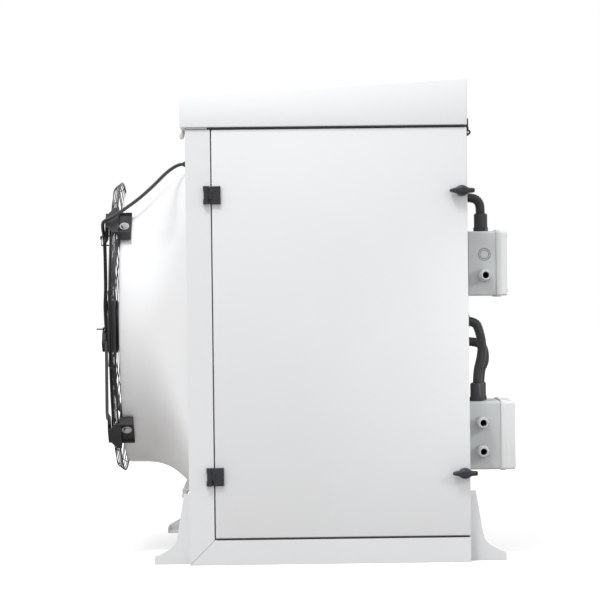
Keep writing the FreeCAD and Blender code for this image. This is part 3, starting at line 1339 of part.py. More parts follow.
def wing_knob(z):
    """A hub with two tapered wings lying along the door, on a spindle through the door."""
    y0 = NEAR - SEAM
    y1 = NEAR - KNOB_PROUD
    hub = Part.makeCone(KNOB_HUB_RADIUS + 1, KNOB_HUB_RADIUS - 4, KNOB_PROUD * 0.72, V(0, y0, 0), V(0, -1, 0))
    h = KNOB_LENGTH / 2
    w = KNOB_WING_THICKNESS / 2
    wing = [(-h, y1 + 4), (-h + 4, y1), (-14, y1 + 8), (14, y1 + 8), (h - 4, y1), (h, y1 + 4), (h - 5, y1 + 16),
            (12, y0 - 5), (-12, y0 - 5), (-h + 5, y1 + 16)]
    blades = face_of([(x, y, -w) for x, y in wing]).extrude(V(0, 0, 2 * w))
    spindle = rod((0, y0, 0), (0, 1, 0), LIP_FACE + SHEET + CAM_THICKNESS + 3 - y0, SPINDLE_RADIUS)
    knob = hub.fuse([blades, spindle])
    knob.translate(V(KNOB_X, 0, z))
    return knob


def cam(z):
    """The tongue on the spindle: it hangs down when the knob is released and turns behind the rear lip."""
    y0 = LIP_FACE + SHEET + 0.5
    half = CAM_WIDTH / 2
    tongue = block(-half, half, y0, y0 + CAM_THICKNESS, -CAM_REACH, 0)
    eye = rod((0, y0, 0), (0, 1, 0), CAM_THICKNESS, SPINDLE_RADIUS + 3.5)
    piece = tongue.fuse(eye).cut(rod((0, y0 - 1, 0), (0, 1, 0), CAM_THICKNESS + 2, SPINDLE_RADIUS + PIN_PLAY))
    piece.translate(V(KNOB_X, 0, z))
    return piece


# Lid

def lid_panel():
    t = SHEET
    x0 = FRONT - LID_OVERHANG
    x1 = REAR
    z0 = LID_BOTTOM
    front_top = CABINET_HEIGHT + LID_GAP + LID_FRONT_RISE
    rear_top = CABINET_HEIGHT + LID_GAP + LID_REAR_RISE
    y1 = FAR + LID_SIDE_PROUD
    outer = plate_xz([(x0, z0), (x1, z0), (x1, rear_top), (x0, front_top)], -y1, y1)
    inner = plate_xz([(x0 + t, z0 + t), (x1 - t, z0 + t), (x1 - t, rear_top - t), (x0 + t, front_top - t)],
                     -y1 + t, y1 - t)
    w = LID_FLANGE
    mouth = block(x0 + w, x1 - w, -y1 + w, y1 - w, z0 - 1, z0 + 2 * t)
    return outer.cut(inner).cut(mouth)


def lid_pull():
    """A bent tab under the front edge of the lid, to lift it by."""
    x = FRONT - LID_OVERHANG + 3.0
    z = LID_BOTTOM
    points = [(x + 6, z), (x - 2, z), (x - 1, z - 4), (x - LID_PULL_PROUD + 4, z - LID_PULL_DROP * 0.7),
              (x - LID_PULL_PROUD + 6, z - LID_PULL_DROP), (x + 2, z - LID_PULL_DROP * 0.9)]
    one = plate_xz(points, -LID_PULL_WIDTH / 2, LID_PULL_WIDTH / 2)
    one.translate(V(0, NEAR + 130.0, 0))
    return group([one, mirrored(one)])


NODES = {
    "base_pan": base_pan,
    "front_panel": front_panel,
    "bottom_rails": bottom_rails,
    "rear_panel": rear_panel,
    "far_side_panel": far_side_panel,
    "top_frame": top_frame,
    "door_gasket": door_gasket,
    "lid_seal": lid_seal,
    "fan_bell": fan_bell,
    "fan_throat": fan_throat,
    "wire_guard": wire_guard,
    "guard_brackets": guard_brackets,
    "bracket_fasteners": bracket_fasteners,
    "motor_arms": motor_arms,
    "fan_motor": fan_motor,
    "motor_cable": motor_cable,
    "cable_grommet": cable_grommet,
    "cable_ties": cable_ties,
    "coil_fins": coil_fins,
    "coil_end_plates": coil_end_plates,
    "coil_bends": coil_bends,
    "coil_headers": coil_headers,
    "compressor": compressor,
    "compressor_mounts": compressor_mounts,
    "liquid_receiver": liquid_receiver,
    "filter_drier": filter_drier,
    "heat_exchanger": heat_exchanger,
    "refrigerant_pipes": refrigerant_pipes,
    "water_pipes": water_pipes,
    "switchgear_plate": switchgear_plate,
    "switchgear": switchgear,
    "upper_box_body": lambda: box_body(UPPER_BOX),
    "upper_box_cover": lambda: box_cover(UPPER_BOX),
    "lower_box_body": lambda: box_body(LOWER_BOX),
    "lower_box_cover": lambda: box_cover(LOWER_BOX),
    "cover_screws": cover_screws,
    "cable_glands": cable_glands,
    "conduit_glands": conduit_glands,
    "conduit_bushes": conduit_bushes,
    "upper_conduit": lambda: tube("upper_conduit", conduit_route("upper"), CONDUIT_RADIUS),
    "lower_conduit_front": lambda: tube("lower_conduit_front", conduit_route("front"), CONDUIT_RADIUS),
    "lower_conduit_back": lambda: tube("lower_conduit_back", conduit_route("back"), CONDUIT_RADIUS),
    "front_feet": front_feet,
    "rear_feet": rear_feet,
    "drip_lip": drip_lip,
    "hinge_frames": hinge_frames,
    "hinge_pins": hinge_pins,
    "door_panel": door_panel,
    "door_insulation": door_insulation,
    "door_hinge_leaves": door_hinge_leaves,
    "upper_wing_knob": lambda: wing_knob(KNOB_HEIGHTS["upper"]),
    "upper_cam": lambda: cam(KNOB_HEIGHTS["upper"]),
    "lower_wing_knob": lambda: wing_knob(KNOB_HEIGHTS["lower"]),
    "lower_cam": lambda: cam(KNOB_HEIGHTS["lower"]),
    "lid_panel": lid_panel,
    "lid_hinge_leaves": lid_hinge_leaves,
    "lid_pull": lid_pull,
    "fan_rotor": fan_rotor,
    "fan_blades": fan_blades,
}

os.makedirs("parts", exist_ok=True)
for name, make in NODES.items():
    shape = make()
    box = shape.BoundBox
    if not shape.isValid():
        print(f"{name}: not valid")
    if any(s.Volume <= 0 for s in shape.Solids) or not shape.Solids:
        print(f"{name}: a solid has no volume")
    print(f"{name}: {len(shape.Solids)} solids, x {box.XMin:.1f} {box.XMax:.1f}, "
          f"y {box.YMin:.1f} {box.YMax:.1f}, z {box.ZMin:.1f} {box.ZMax:.1f}")
    shape.exportStep(os.path.join("parts", f"{name}.step"))
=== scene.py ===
# %% [markdown]
# # Dressing a chiller unit
# The real object is a white sheet-metal cabinet on folded feet. A flared fan bell with a wire guard
# stands on its front, and two junction boxes with corrugated conduits hang on its rear. The CAD solids
# give every size. This file puts the finishes on them and models the pieces whose look comes from rounded
# folds, round wire and moulded plastic.

# %% Load the frame
import bpy
import json
import math
from mathutils import Matrix, Vector

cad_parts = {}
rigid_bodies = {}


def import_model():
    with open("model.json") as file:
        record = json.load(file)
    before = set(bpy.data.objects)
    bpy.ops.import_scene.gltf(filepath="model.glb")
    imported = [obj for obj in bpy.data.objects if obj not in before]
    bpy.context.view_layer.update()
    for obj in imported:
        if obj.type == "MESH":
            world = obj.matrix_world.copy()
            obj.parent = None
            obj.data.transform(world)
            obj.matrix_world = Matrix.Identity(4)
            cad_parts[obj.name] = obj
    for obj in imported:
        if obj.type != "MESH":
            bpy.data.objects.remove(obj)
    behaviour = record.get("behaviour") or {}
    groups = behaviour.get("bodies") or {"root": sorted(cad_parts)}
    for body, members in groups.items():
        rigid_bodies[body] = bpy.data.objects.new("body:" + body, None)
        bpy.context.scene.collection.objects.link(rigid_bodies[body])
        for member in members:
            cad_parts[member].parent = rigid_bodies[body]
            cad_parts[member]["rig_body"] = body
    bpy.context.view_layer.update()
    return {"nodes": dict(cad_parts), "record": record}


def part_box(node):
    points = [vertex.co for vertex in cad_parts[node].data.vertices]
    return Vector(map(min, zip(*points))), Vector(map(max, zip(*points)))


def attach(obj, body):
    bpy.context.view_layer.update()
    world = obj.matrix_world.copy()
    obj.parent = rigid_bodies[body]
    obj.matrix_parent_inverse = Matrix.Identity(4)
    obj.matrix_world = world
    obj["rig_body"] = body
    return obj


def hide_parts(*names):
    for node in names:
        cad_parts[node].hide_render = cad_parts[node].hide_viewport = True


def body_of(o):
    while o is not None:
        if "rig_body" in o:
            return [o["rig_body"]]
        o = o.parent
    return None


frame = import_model()
NODES = frame["nodes"]
SLOT_OF = {part["node"]: part["material_slot"] for part in frame["record"]["subparts"]}
BODY_OF = {node: body_of(NODES[node])[0] for node in NODES}

# %% [markdown]
# ## Camera
# A long lens from a few metres away shows the side nearly without perspective, yet the far rim of the
# guard still falls inside the near one. The picture was taken slightly tilted, so the camera is rolled by
# the same small angle.

# %% Camera
CAMERA_PLACE = (-0.146, -6.833, 0.771)
CAMERA_LENS = 138.0
CAMERA_YAW = math.radians(-0.62)
CAMERA_PITCH = math.radians(-0.37)
CAMERA_ROLL = math.radians(-0.69)
bpy.ops.object.camera_add(location=CAMERA_PLACE)
camera = bpy.context.object
camera.name = "camera"
turn = (Matrix.Rotation(CAMERA_YAW, 3, "Z") @ Matrix.Rotation(math.radians(90) + CAMERA_PITCH, 3, "X")
        @ Matrix.Rotation(CAMERA_ROLL, 3, "Z"))
camera.rotation_euler = turn.to_euler()
camera.data.lens = CAMERA_LENS
camera.data.sensor_width = 36.0
camera.data.clip_end = 60.0
bpy.context.scene.camera = camera
bpy.context.scene.view_settings.view_transform = "Standard"
print("camera at", [round(v, 3) for v in camera.location], "lens", camera.data.lens)

# %% [markdown]
# ## Sizes taken over from the CAD model
# A few places come up again and again, so they get names here. All are in metres: the cabinet's faces,
# the fan axis and the plane of the guard.

# %% Shared sizes
FRONT, REAR = -0.390, 0.390
NEAR, FAR = -0.480, 0.480
CABINET_TOP = 1.203
DOOR_LEFT, DOOR_RIGHT, DOOR_BOTTOM = -0.3175, 0.389, 0.073
DOOR_DEPTH = 0.025
SHEET = 0.002
FAN_Z = 0.655
BELL_MOUTH = -0.584
GUARD_PLANE = -0.634
FAN_CENTRE = Vector((0, 0, FAN_Z))
print("cabinet", REAR - FRONT, FAR - NEAR, CABINET_TOP)

# %% [markdown]
# ## Tools for modelling
# An operator works on whatever is selected, so each helper first deselects everything. `take` picks faces
# or edges by a test on their place or normal, as a modeller would click them, and `settle` ends every
# piece: it applies the transform, smooths the shading, tells the frame which body the piece rides on and
# hides the solids that it stands for.

# %% Selection helpers
def only(obj):
    """Makes obj the one selected and active object."""
    if bpy.context.mode != "OBJECT":
        bpy.ops.object.mode_set(mode="OBJECT")
    bpy.ops.object.select_all(action="DESELECT")
    obj.select_set(True)
    bpy.context.view_layer.objects.active = obj
    return obj


def take(obj, kind, test):
    """Selects the faces, edges or vertices of obj that pass the test, and opens edit mode on them."""
    only(obj)
    mesh = obj.data
    bpy.ops.object.mode_set(mode="EDIT")
    bpy.ops.mesh.select_mode(type={"face": "FACE", "edge": "EDGE", "vert": "VERT"}[kind])
    bpy.ops.mesh.select_all(action="DESELECT")
    bpy.ops.object.mode_set(mode="OBJECT")
    points = [obj.matrix_world @ v.co for v in mesh.vertices]
    count = 0
    if kind == "face":
        for face in mesh.polygons:
            face.select = bool(test(obj.matrix_world @ face.center, face.normal))
            count += face.select
    elif kind == "edge":
        for edge in mesh.edges:
            edge.select = bool(test(points[edge.vertices[0]], points[edge.vertices[1]]))
            count += edge.select
    else:
        for vertex, place in zip(mesh.vertices, points):
            vertex.select = bool(test(place))
            count += vertex.select
    bpy.ops.object.mode_set(mode="EDIT")
    return count


def leave():
    """Goes back to object mode."""
    bpy.ops.object.mode_set(mode="OBJECT")


# %% Modifier and transform helpers
def applied(obj, kind, **settings):
    """Adds one modifier with these settings and applies it."""
    only(obj)
    modifier = obj.modifiers.new(kind.lower(), kind)
    for name, value in settings.items():
        setattr(modifier, name, value)
    bpy.ops.object.modifier_apply(modifier=modifier.name)
    return obj


def rounded(obj, width, segments=2, angle=35):
    """Breaks the sharp edges of obj."""
    return applied(obj, "BEVEL", width=width, segments=segments, limit_method="ANGLE",
                   angle_limit=math.radians(angle), use_clamp_overlap=True)


def fixed_in_place(obj):
    """Applies the transform of obj to its mesh."""
    only(obj)
    bpy.ops.object.transform_apply(location=True, rotation=True, scale=True)
    return obj


def copy_of(obj, matrix=None):
    """A copy with its own mesh, moved by matrix."""
    twin = obj.copy()
    twin.data = obj.data.copy()
    bpy.context.collection.objects.link(twin)
    if matrix is not None:
        twin.data.transform(matrix @ twin.matrix_world)
        twin.matrix_world = Matrix.Identity(4)
        if matrix.determinant() < 0:
            twin.data.flip_normals()
    return twin


def joined(objects, name):
    """Makes one object of several."""
    bpy.ops.object.select_all(action="DESELECT")
    for obj in objects:
        obj.select_set(True)
    bpy.context.view_layer.objects.active = objects[0]
    if len(objects) > 1:
        bpy.ops.object.join()
    objects[0].name = name
    return objects[0]


def about_fan(degrees):
    """The turn about the fan axis that takes a piece drawn above the axis to its angle."""
    return (Matrix.Translation(FAN_CENTRE) @ Matrix.Rotation(math.radians(degrees), 4, "X")
            @ Matrix.Translation(-FAN_CENTRE))


def bent_wire(points, wire):
    """A thin rod along a line of points, as a mesh."""
    data = bpy.data.curves.new("wire", "CURVE")
    data.dimensions = "3D"
    data.bevel_depth = wire
    data.bevel_resolution = 2
    data.use_fill_caps = True
    line = data.splines.new("POLY")
    line.points.add(len(points) - 1)
    for point, place in zip(line.points, points):
        point.co = (*place, 1.0)
    rod = bpy.data.objects.new("wire", data)
    bpy.context.collection.objects.link(rod)
    only(rod)
    bpy.ops.object.convert(target="MESH")
    return bpy.context.object


def settle(obj, name, body, slot, *nodes, smooth=30, outwards=False):
    """Ends a piece: transform applied, shading, body, finish and the CAD solids that it stands for."""
    fixed_in_place(obj)
    obj.name = name
    obj.data.name = name
    if outwards:
        bpy.ops.object.mode_set(mode="EDIT")
        bpy.ops.mesh.select_all(action="SELECT")
        bpy.ops.mesh.normals_make_consistent(inside=False)
        leave()
    bpy.ops.object.shade_smooth_by_angle(angle=math.radians(smooth))
    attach(obj, body)
    if nodes:
        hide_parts(*nodes)
    obj.data.materials.clear()
    obj.data.materials.append(FINISH[slot])
    print(name, "faces", len(obj.data.polygons))
    return obj


# %% [markdown]
# ## Shader maths
# Finishes are short formulas. `Value` wraps a socket of the node tree, so that `noise * 0.2 + 0.8` adds
# its own Math nodes. Everything that isn't plain maths goes through `Tree.node`, which takes a node's
# type, its settings and what its sockets get.

# %% Shader maths
class Value:
    """A number socket on which the usual operators add Math nodes."""

    def __init__(self, tree, socket):
        self.tree = tree
        self.socket = socket

    def math(self, operation, *others):
        made = self.tree.node("ShaderNodeMath", {"operation": operation},
                              dict(enumerate([self, *others])))
        return Value(self.tree, made.outputs[0])

    def __add__(self, other):
        return self.math("ADD", other)

    def __mul__(self, other):
        return self.math("MULTIPLY", other)

    def __sub__(self, other):
        return self.math("SUBTRACT", other)

    def __rsub__(self, other):
        return (self * -1) + other

    __radd__ = __add__
    __rmul__ = __mul__


class Tree:
    """The node tree of one material, with its Object coordinates at hand."""

    def __init__(self, name):
        self.material = bpy.data.materials.new(name)
        self.material.use_nodes = True
        self.nodes = self.material.node_tree.nodes
        self.links = self.material.node_tree.links
        self.shader = self.nodes["Principled BSDF"]
        self.place = self.node("ShaderNodeTexCoord").outputs["Object"]

    def node(self, kind, settings=None, inputs=None):
        made = self.nodes.new(kind)
        for name, value in (settings or {}).items():
            setattr(made, name, value)
        for key, value in (inputs or {}).items():
            self.give(made.inputs[key], value)
        return made

    def give(self, socket, value):
        value = value.socket if isinstance(value, Value) else value
        if isinstance(value, bpy.types.NodeSocket):
            self.links.new(value, socket)
        else:
            socket.default_value = value

    def noise(self, scale, detail=2.0, stretch=None):
        place = self.place
        if stretch:
            place = self.node("ShaderNodeMapping", {}, {"Vector": place, "Scale": stretch}).outputs[0]
        sockets = {"Vector": place, "Scale": scale, "Detail": detail}
        made = self.node("ShaderNodeTexNoise", {}, sockets)
        return Value(self, made.outputs["Fac"])

    def cells(self, scale):
        made = self.node("ShaderNodeTexVoronoi", {}, {"Vector": self.place, "Scale": scale})
        parts = self.node("ShaderNodeSeparateColor", {}, {0: made.outputs["Color"]})
        return Value(self, parts.outputs[0])

    def ramp(self, value, low, high):
        """Stretches the part of a value between low and high to 0..1."""
        made = self.node("ShaderNodeMapRange", {"clamp": True}, {0: value, 1: low, 2: high})
        return Value(self, made.outputs[0])

    def mix(self, share, first, second):
        made = self.node("ShaderNodeMix", {"data_type": "RGBA"}, {0: share, 6: first, 7: second})
        return made.outputs[2]

    def bump(self, height, strength, distance):
        sockets = {"Height": height, "Strength": strength, "Distance": distance}
        return self.node("ShaderNodeBump", {}, sockets).outputs[0]


def grey(value, warm=0.0):
    """A grey, with a little more red and less blue if it is warm."""
    return (value * (1 + warm), value, value * (1 - warm), 1.0)


# %% [markdown]
# ## Finishes
# The cabinet is powder coated: an even white with a very fine orange peel. The lid gets a lighter white,
# painted light for the stronger light that falls on it from above, and the paint turns grey in the
# narrow band under the lid's edge: painted shadow where little light gets in. The bell is a glossy
# moulding with broad, soft waves. The boxes are grey plastic with lighter covers, and a dark band on the
# upper box next to the door is painted shadow for the gap between them. Galvanised sheet shows its zinc
# crystals, rubber and nylon are dull with a fine grain, and copper is slightly darker where hands and flux
# touched it.

# %% Painted and moulded finishes
FINISH = {}
PATCH_SCALE, PATCH_DETAIL = 3.0, 3.0
PATCH_LOW, PATCH_HIGH = 0.35, 0.7
ROUGH_LOW, ROUGH_HIGH = 0.3, 0.75
ROUGH_CHANGE = 0.06
PEEL_DEPTH = 0.0004


def coated(slot, light, dark, rough, peel_scale, peel, extra=None):
    """Paint or moulding: two close tones in patches, roughness with them, and a fine surface grain."""
    tree = Tree(slot)
    patches = tree.noise(PATCH_SCALE, PATCH_DETAIL)
    specks = tree.noise(peel_scale, 1.0)
    tone = tree.mix(tree.ramp(patches, PATCH_LOW, PATCH_HIGH), dark, light)
    tree.give(tree.shader.inputs["Base Color"], tone)
    dull = tree.ramp(patches, ROUGH_LOW, ROUGH_HIGH)
    tree.give(tree.shader.inputs["Roughness"], dull * ROUGH_CHANGE + rough)
    tree.give(tree.shader.inputs["Normal"], tree.bump(specks, peel, PEEL_DEPTH))
    for name, value in (extra or {}).items():
        tree.shader.inputs[name].default_value = value
    FINISH[slot] = tree.material
    return tree


coated("bell_gloss", (0.88, 0.895, 0.91, 1), (0.87, 0.88, 0.89, 1), 0.2, 30.0, 0.03,
       {"Coat Weight": 0.4, "Coat Roughness": 0.12})
coated("guard_black", (0.021, 0.022, 0.026, 1), (0.015, 0.016, 0.019, 1), 0.3, 700.0, 0.1)
coated("motor_black", grey(0.03), grey(0.02), 0.38, 500.0, 0.15)
coated("blade_grey", grey(0.055), grey(0.045), 0.45, 300.0, 0.12)
coated("seal_black", grey(0.03), grey(0.022), 0.75, 400.0, 0.2)
coated("cable_black", grey(0.034), grey(0.024), 0.36, 600.0, 0.12)
coated("fitting_black", (0.027, 0.029, 0.036, 1), (0.02, 0.021, 0.026, 1), 0.4, 800.0, 0.15)
coated("gear_grey", grey(0.42), grey(0.38), 0.5, 500.0, 0.1)
coated("pull_light", (0.72, 0.71, 0.68, 1), (0.68, 0.67, 0.64, 1), 0.5, 500.0, 0.1)
coated("foam_grey", grey(0.05), grey(0.03), 0.9, 350.0, 0.6)
print("coated finishes", len(FINISH))

# %% Cabinet paint
WHITE_LIGHT = (0.82, 0.837, 0.855, 1)
WHITE_DARK = (0.805, 0.82, 0.835, 1)
# Painted light: a lighter white for the lid, which gets more light from above.
LID_PAINTED_LIGHT = (0.865, 0.885, 0.905, 1)
# Painted shadow under the lid's edge: its grey, its strength and the height where it begins.
PAINTED_SHADOW_GREY = (0.36, 0.37, 0.38, 1)
PAINTED_SHADOW_SHARE = 0.8
PAINTED_SHADOW_START = 1.1915
LID_LIGHT_START, LID_LIGHT_END = 1.2055, 1.2065


def cabinet_paint():
    """White paint, grey towards the cabinet's top edge as painted shadow under the lid, and a lighter
    white on the lid as painted light.
    """
    paint = coated("cabinet_white", WHITE_LIGHT, WHITE_DARK, 0.42, 900.0, 0.08)
    up = paint.node("ShaderNodeSeparateXYZ", {}, {0: paint.place}).outputs["Z"]
    patches = paint.noise(PATCH_SCALE, PATCH_DETAIL)
    tone = paint.mix(paint.ramp(patches, PATCH_LOW, PATCH_HIGH), WHITE_DARK, WHITE_LIGHT)
    # Painted shadow: the tone is mixed towards grey near the top edge, for the shade under the lid's edge.
    overhang_shadow = paint.ramp(up, PAINTED_SHADOW_START, CABINET_TOP)
    tone = paint.mix(overhang_shadow * overhang_shadow * PAINTED_SHADOW_SHARE, tone, PAINTED_SHADOW_GREY)
    # Painted light: above the gap the lid's white is lighter, for the stronger light that falls on the
    # lid.
    tone = paint.mix(paint.ramp(up, LID_LIGHT_START, LID_LIGHT_END), tone, LID_PAINTED_LIGHT)
    paint.give(paint.shader.inputs["Base Color"], tone)


cabinet_paint()
print("paint darkens from", PAINTED_SHADOW_START, "to", CABINET_TOP)

# %% Box plastic
BOX_BODY = (0.50, 0.52, 0.525, 1)
BOX_COVER = (0.70, 0.72, 0.725, 1)
BOX_PATCH = (0.5, 0.5, 0.49, 1)
BOX_PATCH_SHARE = 0.06
# Painted shadow in the gap between the door and the upper box: its tone and where it lies.
BOX_GAP_SHADOW = grey(0.02)
COVER_START = 0.478
COVER_BLEND = 0.012
GAP_SHADOW_END = 0.3972
GAP_SHADOW_BLEND = 0.0008
GAP_SHADOW_FROM, GAP_SHADOW_FULL = 0.55, 0.56


def box_plastic():
    """Grey plastic: lighter on the covers, with a dark band of painted shadow at the gap behind the upper
    box.
    """
    tree = coated("box_grey", grey(0.5), grey(0.5), 0.42, 500.0, 0.12)
    place = tree.node("ShaderNodeSeparateXYZ", {}, {0: tree.place})
    along, height = place.outputs["X"], place.outputs["Z"]
    tone = tree.mix(tree.ramp(along, COVER_START, COVER_START + COVER_BLEND), BOX_BODY, BOX_COVER)
    patches = tree.ramp(tree.noise(4.0, 3.0), ROUGH_LOW, ROUGH_HIGH)
    tone = tree.mix(patches * BOX_PATCH_SHARE, tone, BOX_PATCH)
    # Painted shadow: a dark band on the upper box's edge beside the door, for the shade in the gap.
    gap_shadow = (tree.ramp(along, GAP_SHADOW_END, GAP_SHADOW_END - GAP_SHADOW_BLEND)
              * tree.ramp(height, GAP_SHADOW_FROM, GAP_SHADOW_FULL))
    tree.give(tree.shader.inputs["Base Color"], tree.mix(gap_shadow, tone, BOX_GAP_SHADOW))


box_plastic()
print("box covers from", COVER_START, "gasket behind", GAP_SHADOW_END)

# %% Metal finishes
METAL_ROUGH_CHANGE = 0.14
METAL_BUMP, METAL_BUMP_DEPTH = 0.06, 0.0003


def metal(slot, light, dark, rough, scale, spangle, streak=None, shiny=1.0):
    """Bare metal: crystals or streaks in its tone and roughness."""
    tree = Tree(slot)
    grain = tree.cells(scale) if spangle else tree.noise(scale, 3.0, streak)
    tree.give(tree.shader.inputs["Base Color"], tree.mix(grain, dark, light))
    tree.give(tree.shader.inputs["Roughness"], grain * METAL_ROUGH_CHANGE + rough)
    relief = tree.noise(scale * 4, 2.0)
    tree.give(tree.shader.inputs["Normal"], tree.bump(relief, METAL_BUMP, METAL_BUMP_DEPTH))
    tree.shader.inputs["Metallic"].default_value = shiny
    FINISH[slot] = tree.material
    return tree


metal("galvanised", grey(0.62), grey(0.5), 0.34, 90.0, True)
metal("zinc", grey(0.72, 0.01), grey(0.58, 0.01), 0.26, 260.0, False)
metal("fin_aluminium", grey(0.74), grey(0.64), 0.32, 40.0, False, (1, 1, 12))
metal("copper", (0.72, 0.38, 0.25, 1), (0.5, 0.25, 0.16, 1), 0.3, 25.0, False)
metal("plate_steel", grey(0.62), grey(0.52), 0.24, 60.0, False, (12, 1, 1))
print("finishes", sorted(FINISH))

# %% [markdown]
# ## Light and floor
# The world gives even light from all sides. A soft sun adds a little from above, a panel high in front
# shapes the bell and throws the shadows under the lid, the hinges and the knobs, and a small narrow panel
# at the side does so for the glands on the boxes. Rays from the camera, and rays that pass through clear
# pieces, see the background fully white, all others slightly darker. The floor looks pale to the camera
# and is darker for all other rays, so that it throws little light up at the cabinet.

# %% World
WORLD_LEVEL = 0.93
WHITE = (1, 1, 1, 1)
TO_MIN, TO_MAX = 3, 4
world = bpy.data.worlds.new("studio")
bpy.context.scene.world = world
world.use_nodes = True
sky = world.node_tree
path = sky.nodes.new("ShaderNodeLightPath")
seen = sky.nodes.new("ShaderNodeMath")
seen.operation = "MAXIMUM"
sky.links.new(path.outputs["Is Camera Ray"], seen.inputs[0])
sky.links.new(path.outputs["Is Transmission Ray"], seen.inputs[1])
level = sky.nodes.new("ShaderNodeMapRange")
level.inputs[TO_MIN].default_value = WORLD_LEVEL
level.inputs[TO_MAX].default_value = 1.0
sky.links.new(seen.outputs[0], level.inputs[0])
sky.links.new(level.outputs[0], sky.nodes["Background"].inputs["Strength"])
sky.nodes["Background"].inputs["Color"].default_value = WHITE
print("world", WORLD_LEVEL)

# %% Lamps
SUN_DIRECTION, SUN_STRENGTH, SUN_ANGLE = (0.35, 0.4, -1.0), 0.55, 40
KEY_PLACE, KEY_AIM = (-0.9, -2.5, 4.2), (-0.1, -0.4, 0.7)
KEY_SIZE, KEY_WATTS = 0.6, 56
SIDE_PLACE, SIDE_AIM = (1.90, -1.75, 1.30), (0.66, -0.40, 0.60)
SIDE_SIZE, SIDE_WATTS, SIDE_SPREAD = 0.22, 0.5, 30


def lamp(name, direction, strength, angle):
    """A sun lamp that shines along direction, soft by its angle."""
    bpy.ops.object.light_add(type="SUN", location=(0, 0, 4))
    sun = bpy.context.object
    sun.name = name
    sun.rotation_euler = Vector(direction).to_track_quat("-Z", "Y").to_euler()
    sun.data.energy = strength
    sun.data.angle = math.radians(angle)
    return sun


def softbox(name, place, aim, size, watts):
    """A square lamp panel at a place, turned to its aim."""
    bpy.ops.object.light_add(type="AREA", location=place)
    panel = bpy.context.object
    panel.name = name
    panel.rotation_euler = (Vector(aim) - Vector(place)).to_track_quat("-Z", "Y").to_euler()
    panel.data.shape = "SQUARE"
    panel.data.size = size
    panel.data.energy = watts
    return panel


lamp("top_light", SUN_DIRECTION, SUN_STRENGTH, SUN_ANGLE)
softbox("key_panel", KEY_PLACE, KEY_AIM, KEY_SIZE, KEY_WATTS)
side_panel = softbox("side_panel", SIDE_PLACE, SIDE_AIM, SIDE_SIZE, SIDE_WATTS)
side_panel.data.spread = math.radians(SIDE_SPREAD)
print("panels", KEY_WATTS, SIDE_WATTS)

# %% Floor
FLOOR_TONE = grey(0.38, 0.04)
FLOOR_SEEN = grey(0.8)
FLOOR_GLOW = 0.35
bpy.ops.mesh.primitive_plane_add(size=60, location=(0, 0, -0.0005))
floor = bpy.context.object
floor.name = "floor"
ground = Tree("floor_paint")
ground.shader.inputs["Base Color"].default_value = FLOOR_TONE
ground.shader.inputs["Roughness"].default_value = 0.9
ground.shader.inputs["Specular IOR Level"].default_value = 0.1
pale = ground.node("ShaderNodeBsdfDiffuse", {}, {"Color": FLOOR_SEEN})
glow = ground.node("ShaderNodeEmission", {}, {"Color": grey(1.0), "Strength": FLOOR_GLOW})
light_path = ground.node("ShaderNodeLightPath")
both = ground.node("ShaderNodeAddShader", {}, {0: pale.outputs[0], 1: glow.outputs[0]})
shaders = {0: light_path.outputs["Is Camera Ray"], 1: ground.shader.outputs[0], 2: both.outputs[0]}
chosen = ground.node("ShaderNodeMixShader", {}, shaders)
ground.links.new(chosen.outputs[0], ground.nodes["Material Output"].inputs[0])
floor.data.materials.append(ground.material)
print("floor at", floor.location.z)

# %% [markdown]
# ## Cords
# The motor cable leaves its cone grommet, sags past the bell and runs down the near upper arm to the
# motor. The three conduits leave the box tops and turn into the rear face. Each line is a smooth spline
# through the points of the route, and the tube follows it.

# %% Routes
def on_arm(radius, x, aside=0.0):
    """A point over the near upper arm, at a radius from the fan axis and beside the arm's middle."""
    s = math.sqrt(0.5)
    return (x, (aside - radius) * s, FAN_Z + (radius + aside) * s)


ROUTES = {
    "motor_cable": [
        (-0.408, -0.152, 1.126), (-0.434, -0.152, 1.126), (-0.512, -0.244, 1.038), (-0.585, -0.308, 0.981),
        on_arm(0.4445, -0.6235, -0.012), on_arm(0.431, -0.632, -0.009), on_arm(0.393, -0.6345, 0.006),
        on_arm(0.357, -0.633, 0.014), on_arm(0.300, -0.6345, 0.0185), on_arm(0.225, -0.6375, 0.0185),
        on_arm(0.150, -0.641, 0.0185), on_arm(0.108, -0.645, 0.0185), on_arm(0.068, -0.6485, 0.0185),
        on_arm(0.044, -0.6485, 0.009), on_arm(0.022, -0.6485, 0.0005), on_arm(0.002, -0.6488),
        on_arm(-0.044, -0.6485)],
    "upper_conduit": [
        (0.437, -0.340, 0.886), (0.437, -0.340, 0.972), (0.434, -0.340, 1.001), (0.412, -0.340, 1.014),
        (0.366, -0.340, 1.014)],
    "lower_conduit_front": [
        (0.420, -0.355, 0.409), (0.420, -0.355, 0.516), (0.432, -0.354, 0.555), (0.437, -0.353, 0.594),
        (0.429, -0.354, 0.636), (0.416, -0.355, 0.666), (0.366, -0.355, 0.666)],
    "lower_conduit_back": [
        (0.432, -0.295, 0.409), (0.432, -0.295, 0.520), (0.450, -0.293, 0.548), (0.446, -0.292, 0.590),
        (0.424, -0.295, 0.606), (0.366, -0.295, 0.606)],
}


def spline(name, points):
    """A curve object with one smooth open spline whose control points are the route's."""
    data = bpy.data.curves.new(name, "CURVE")
    data.dimensions = "3D"
    line = data.splines.new("NURBS")
    line.points.add(len(points) - 1)
    for point, place in zip(line.points, points):
        point.co = (*place, 1.0)
    line.order_u = 3
    line.use_endpoint_u = True
    line.resolution_u = 16
    obj = bpy.data.objects.new(name, data)
    bpy.context.collection.objects.link(obj)
    return obj


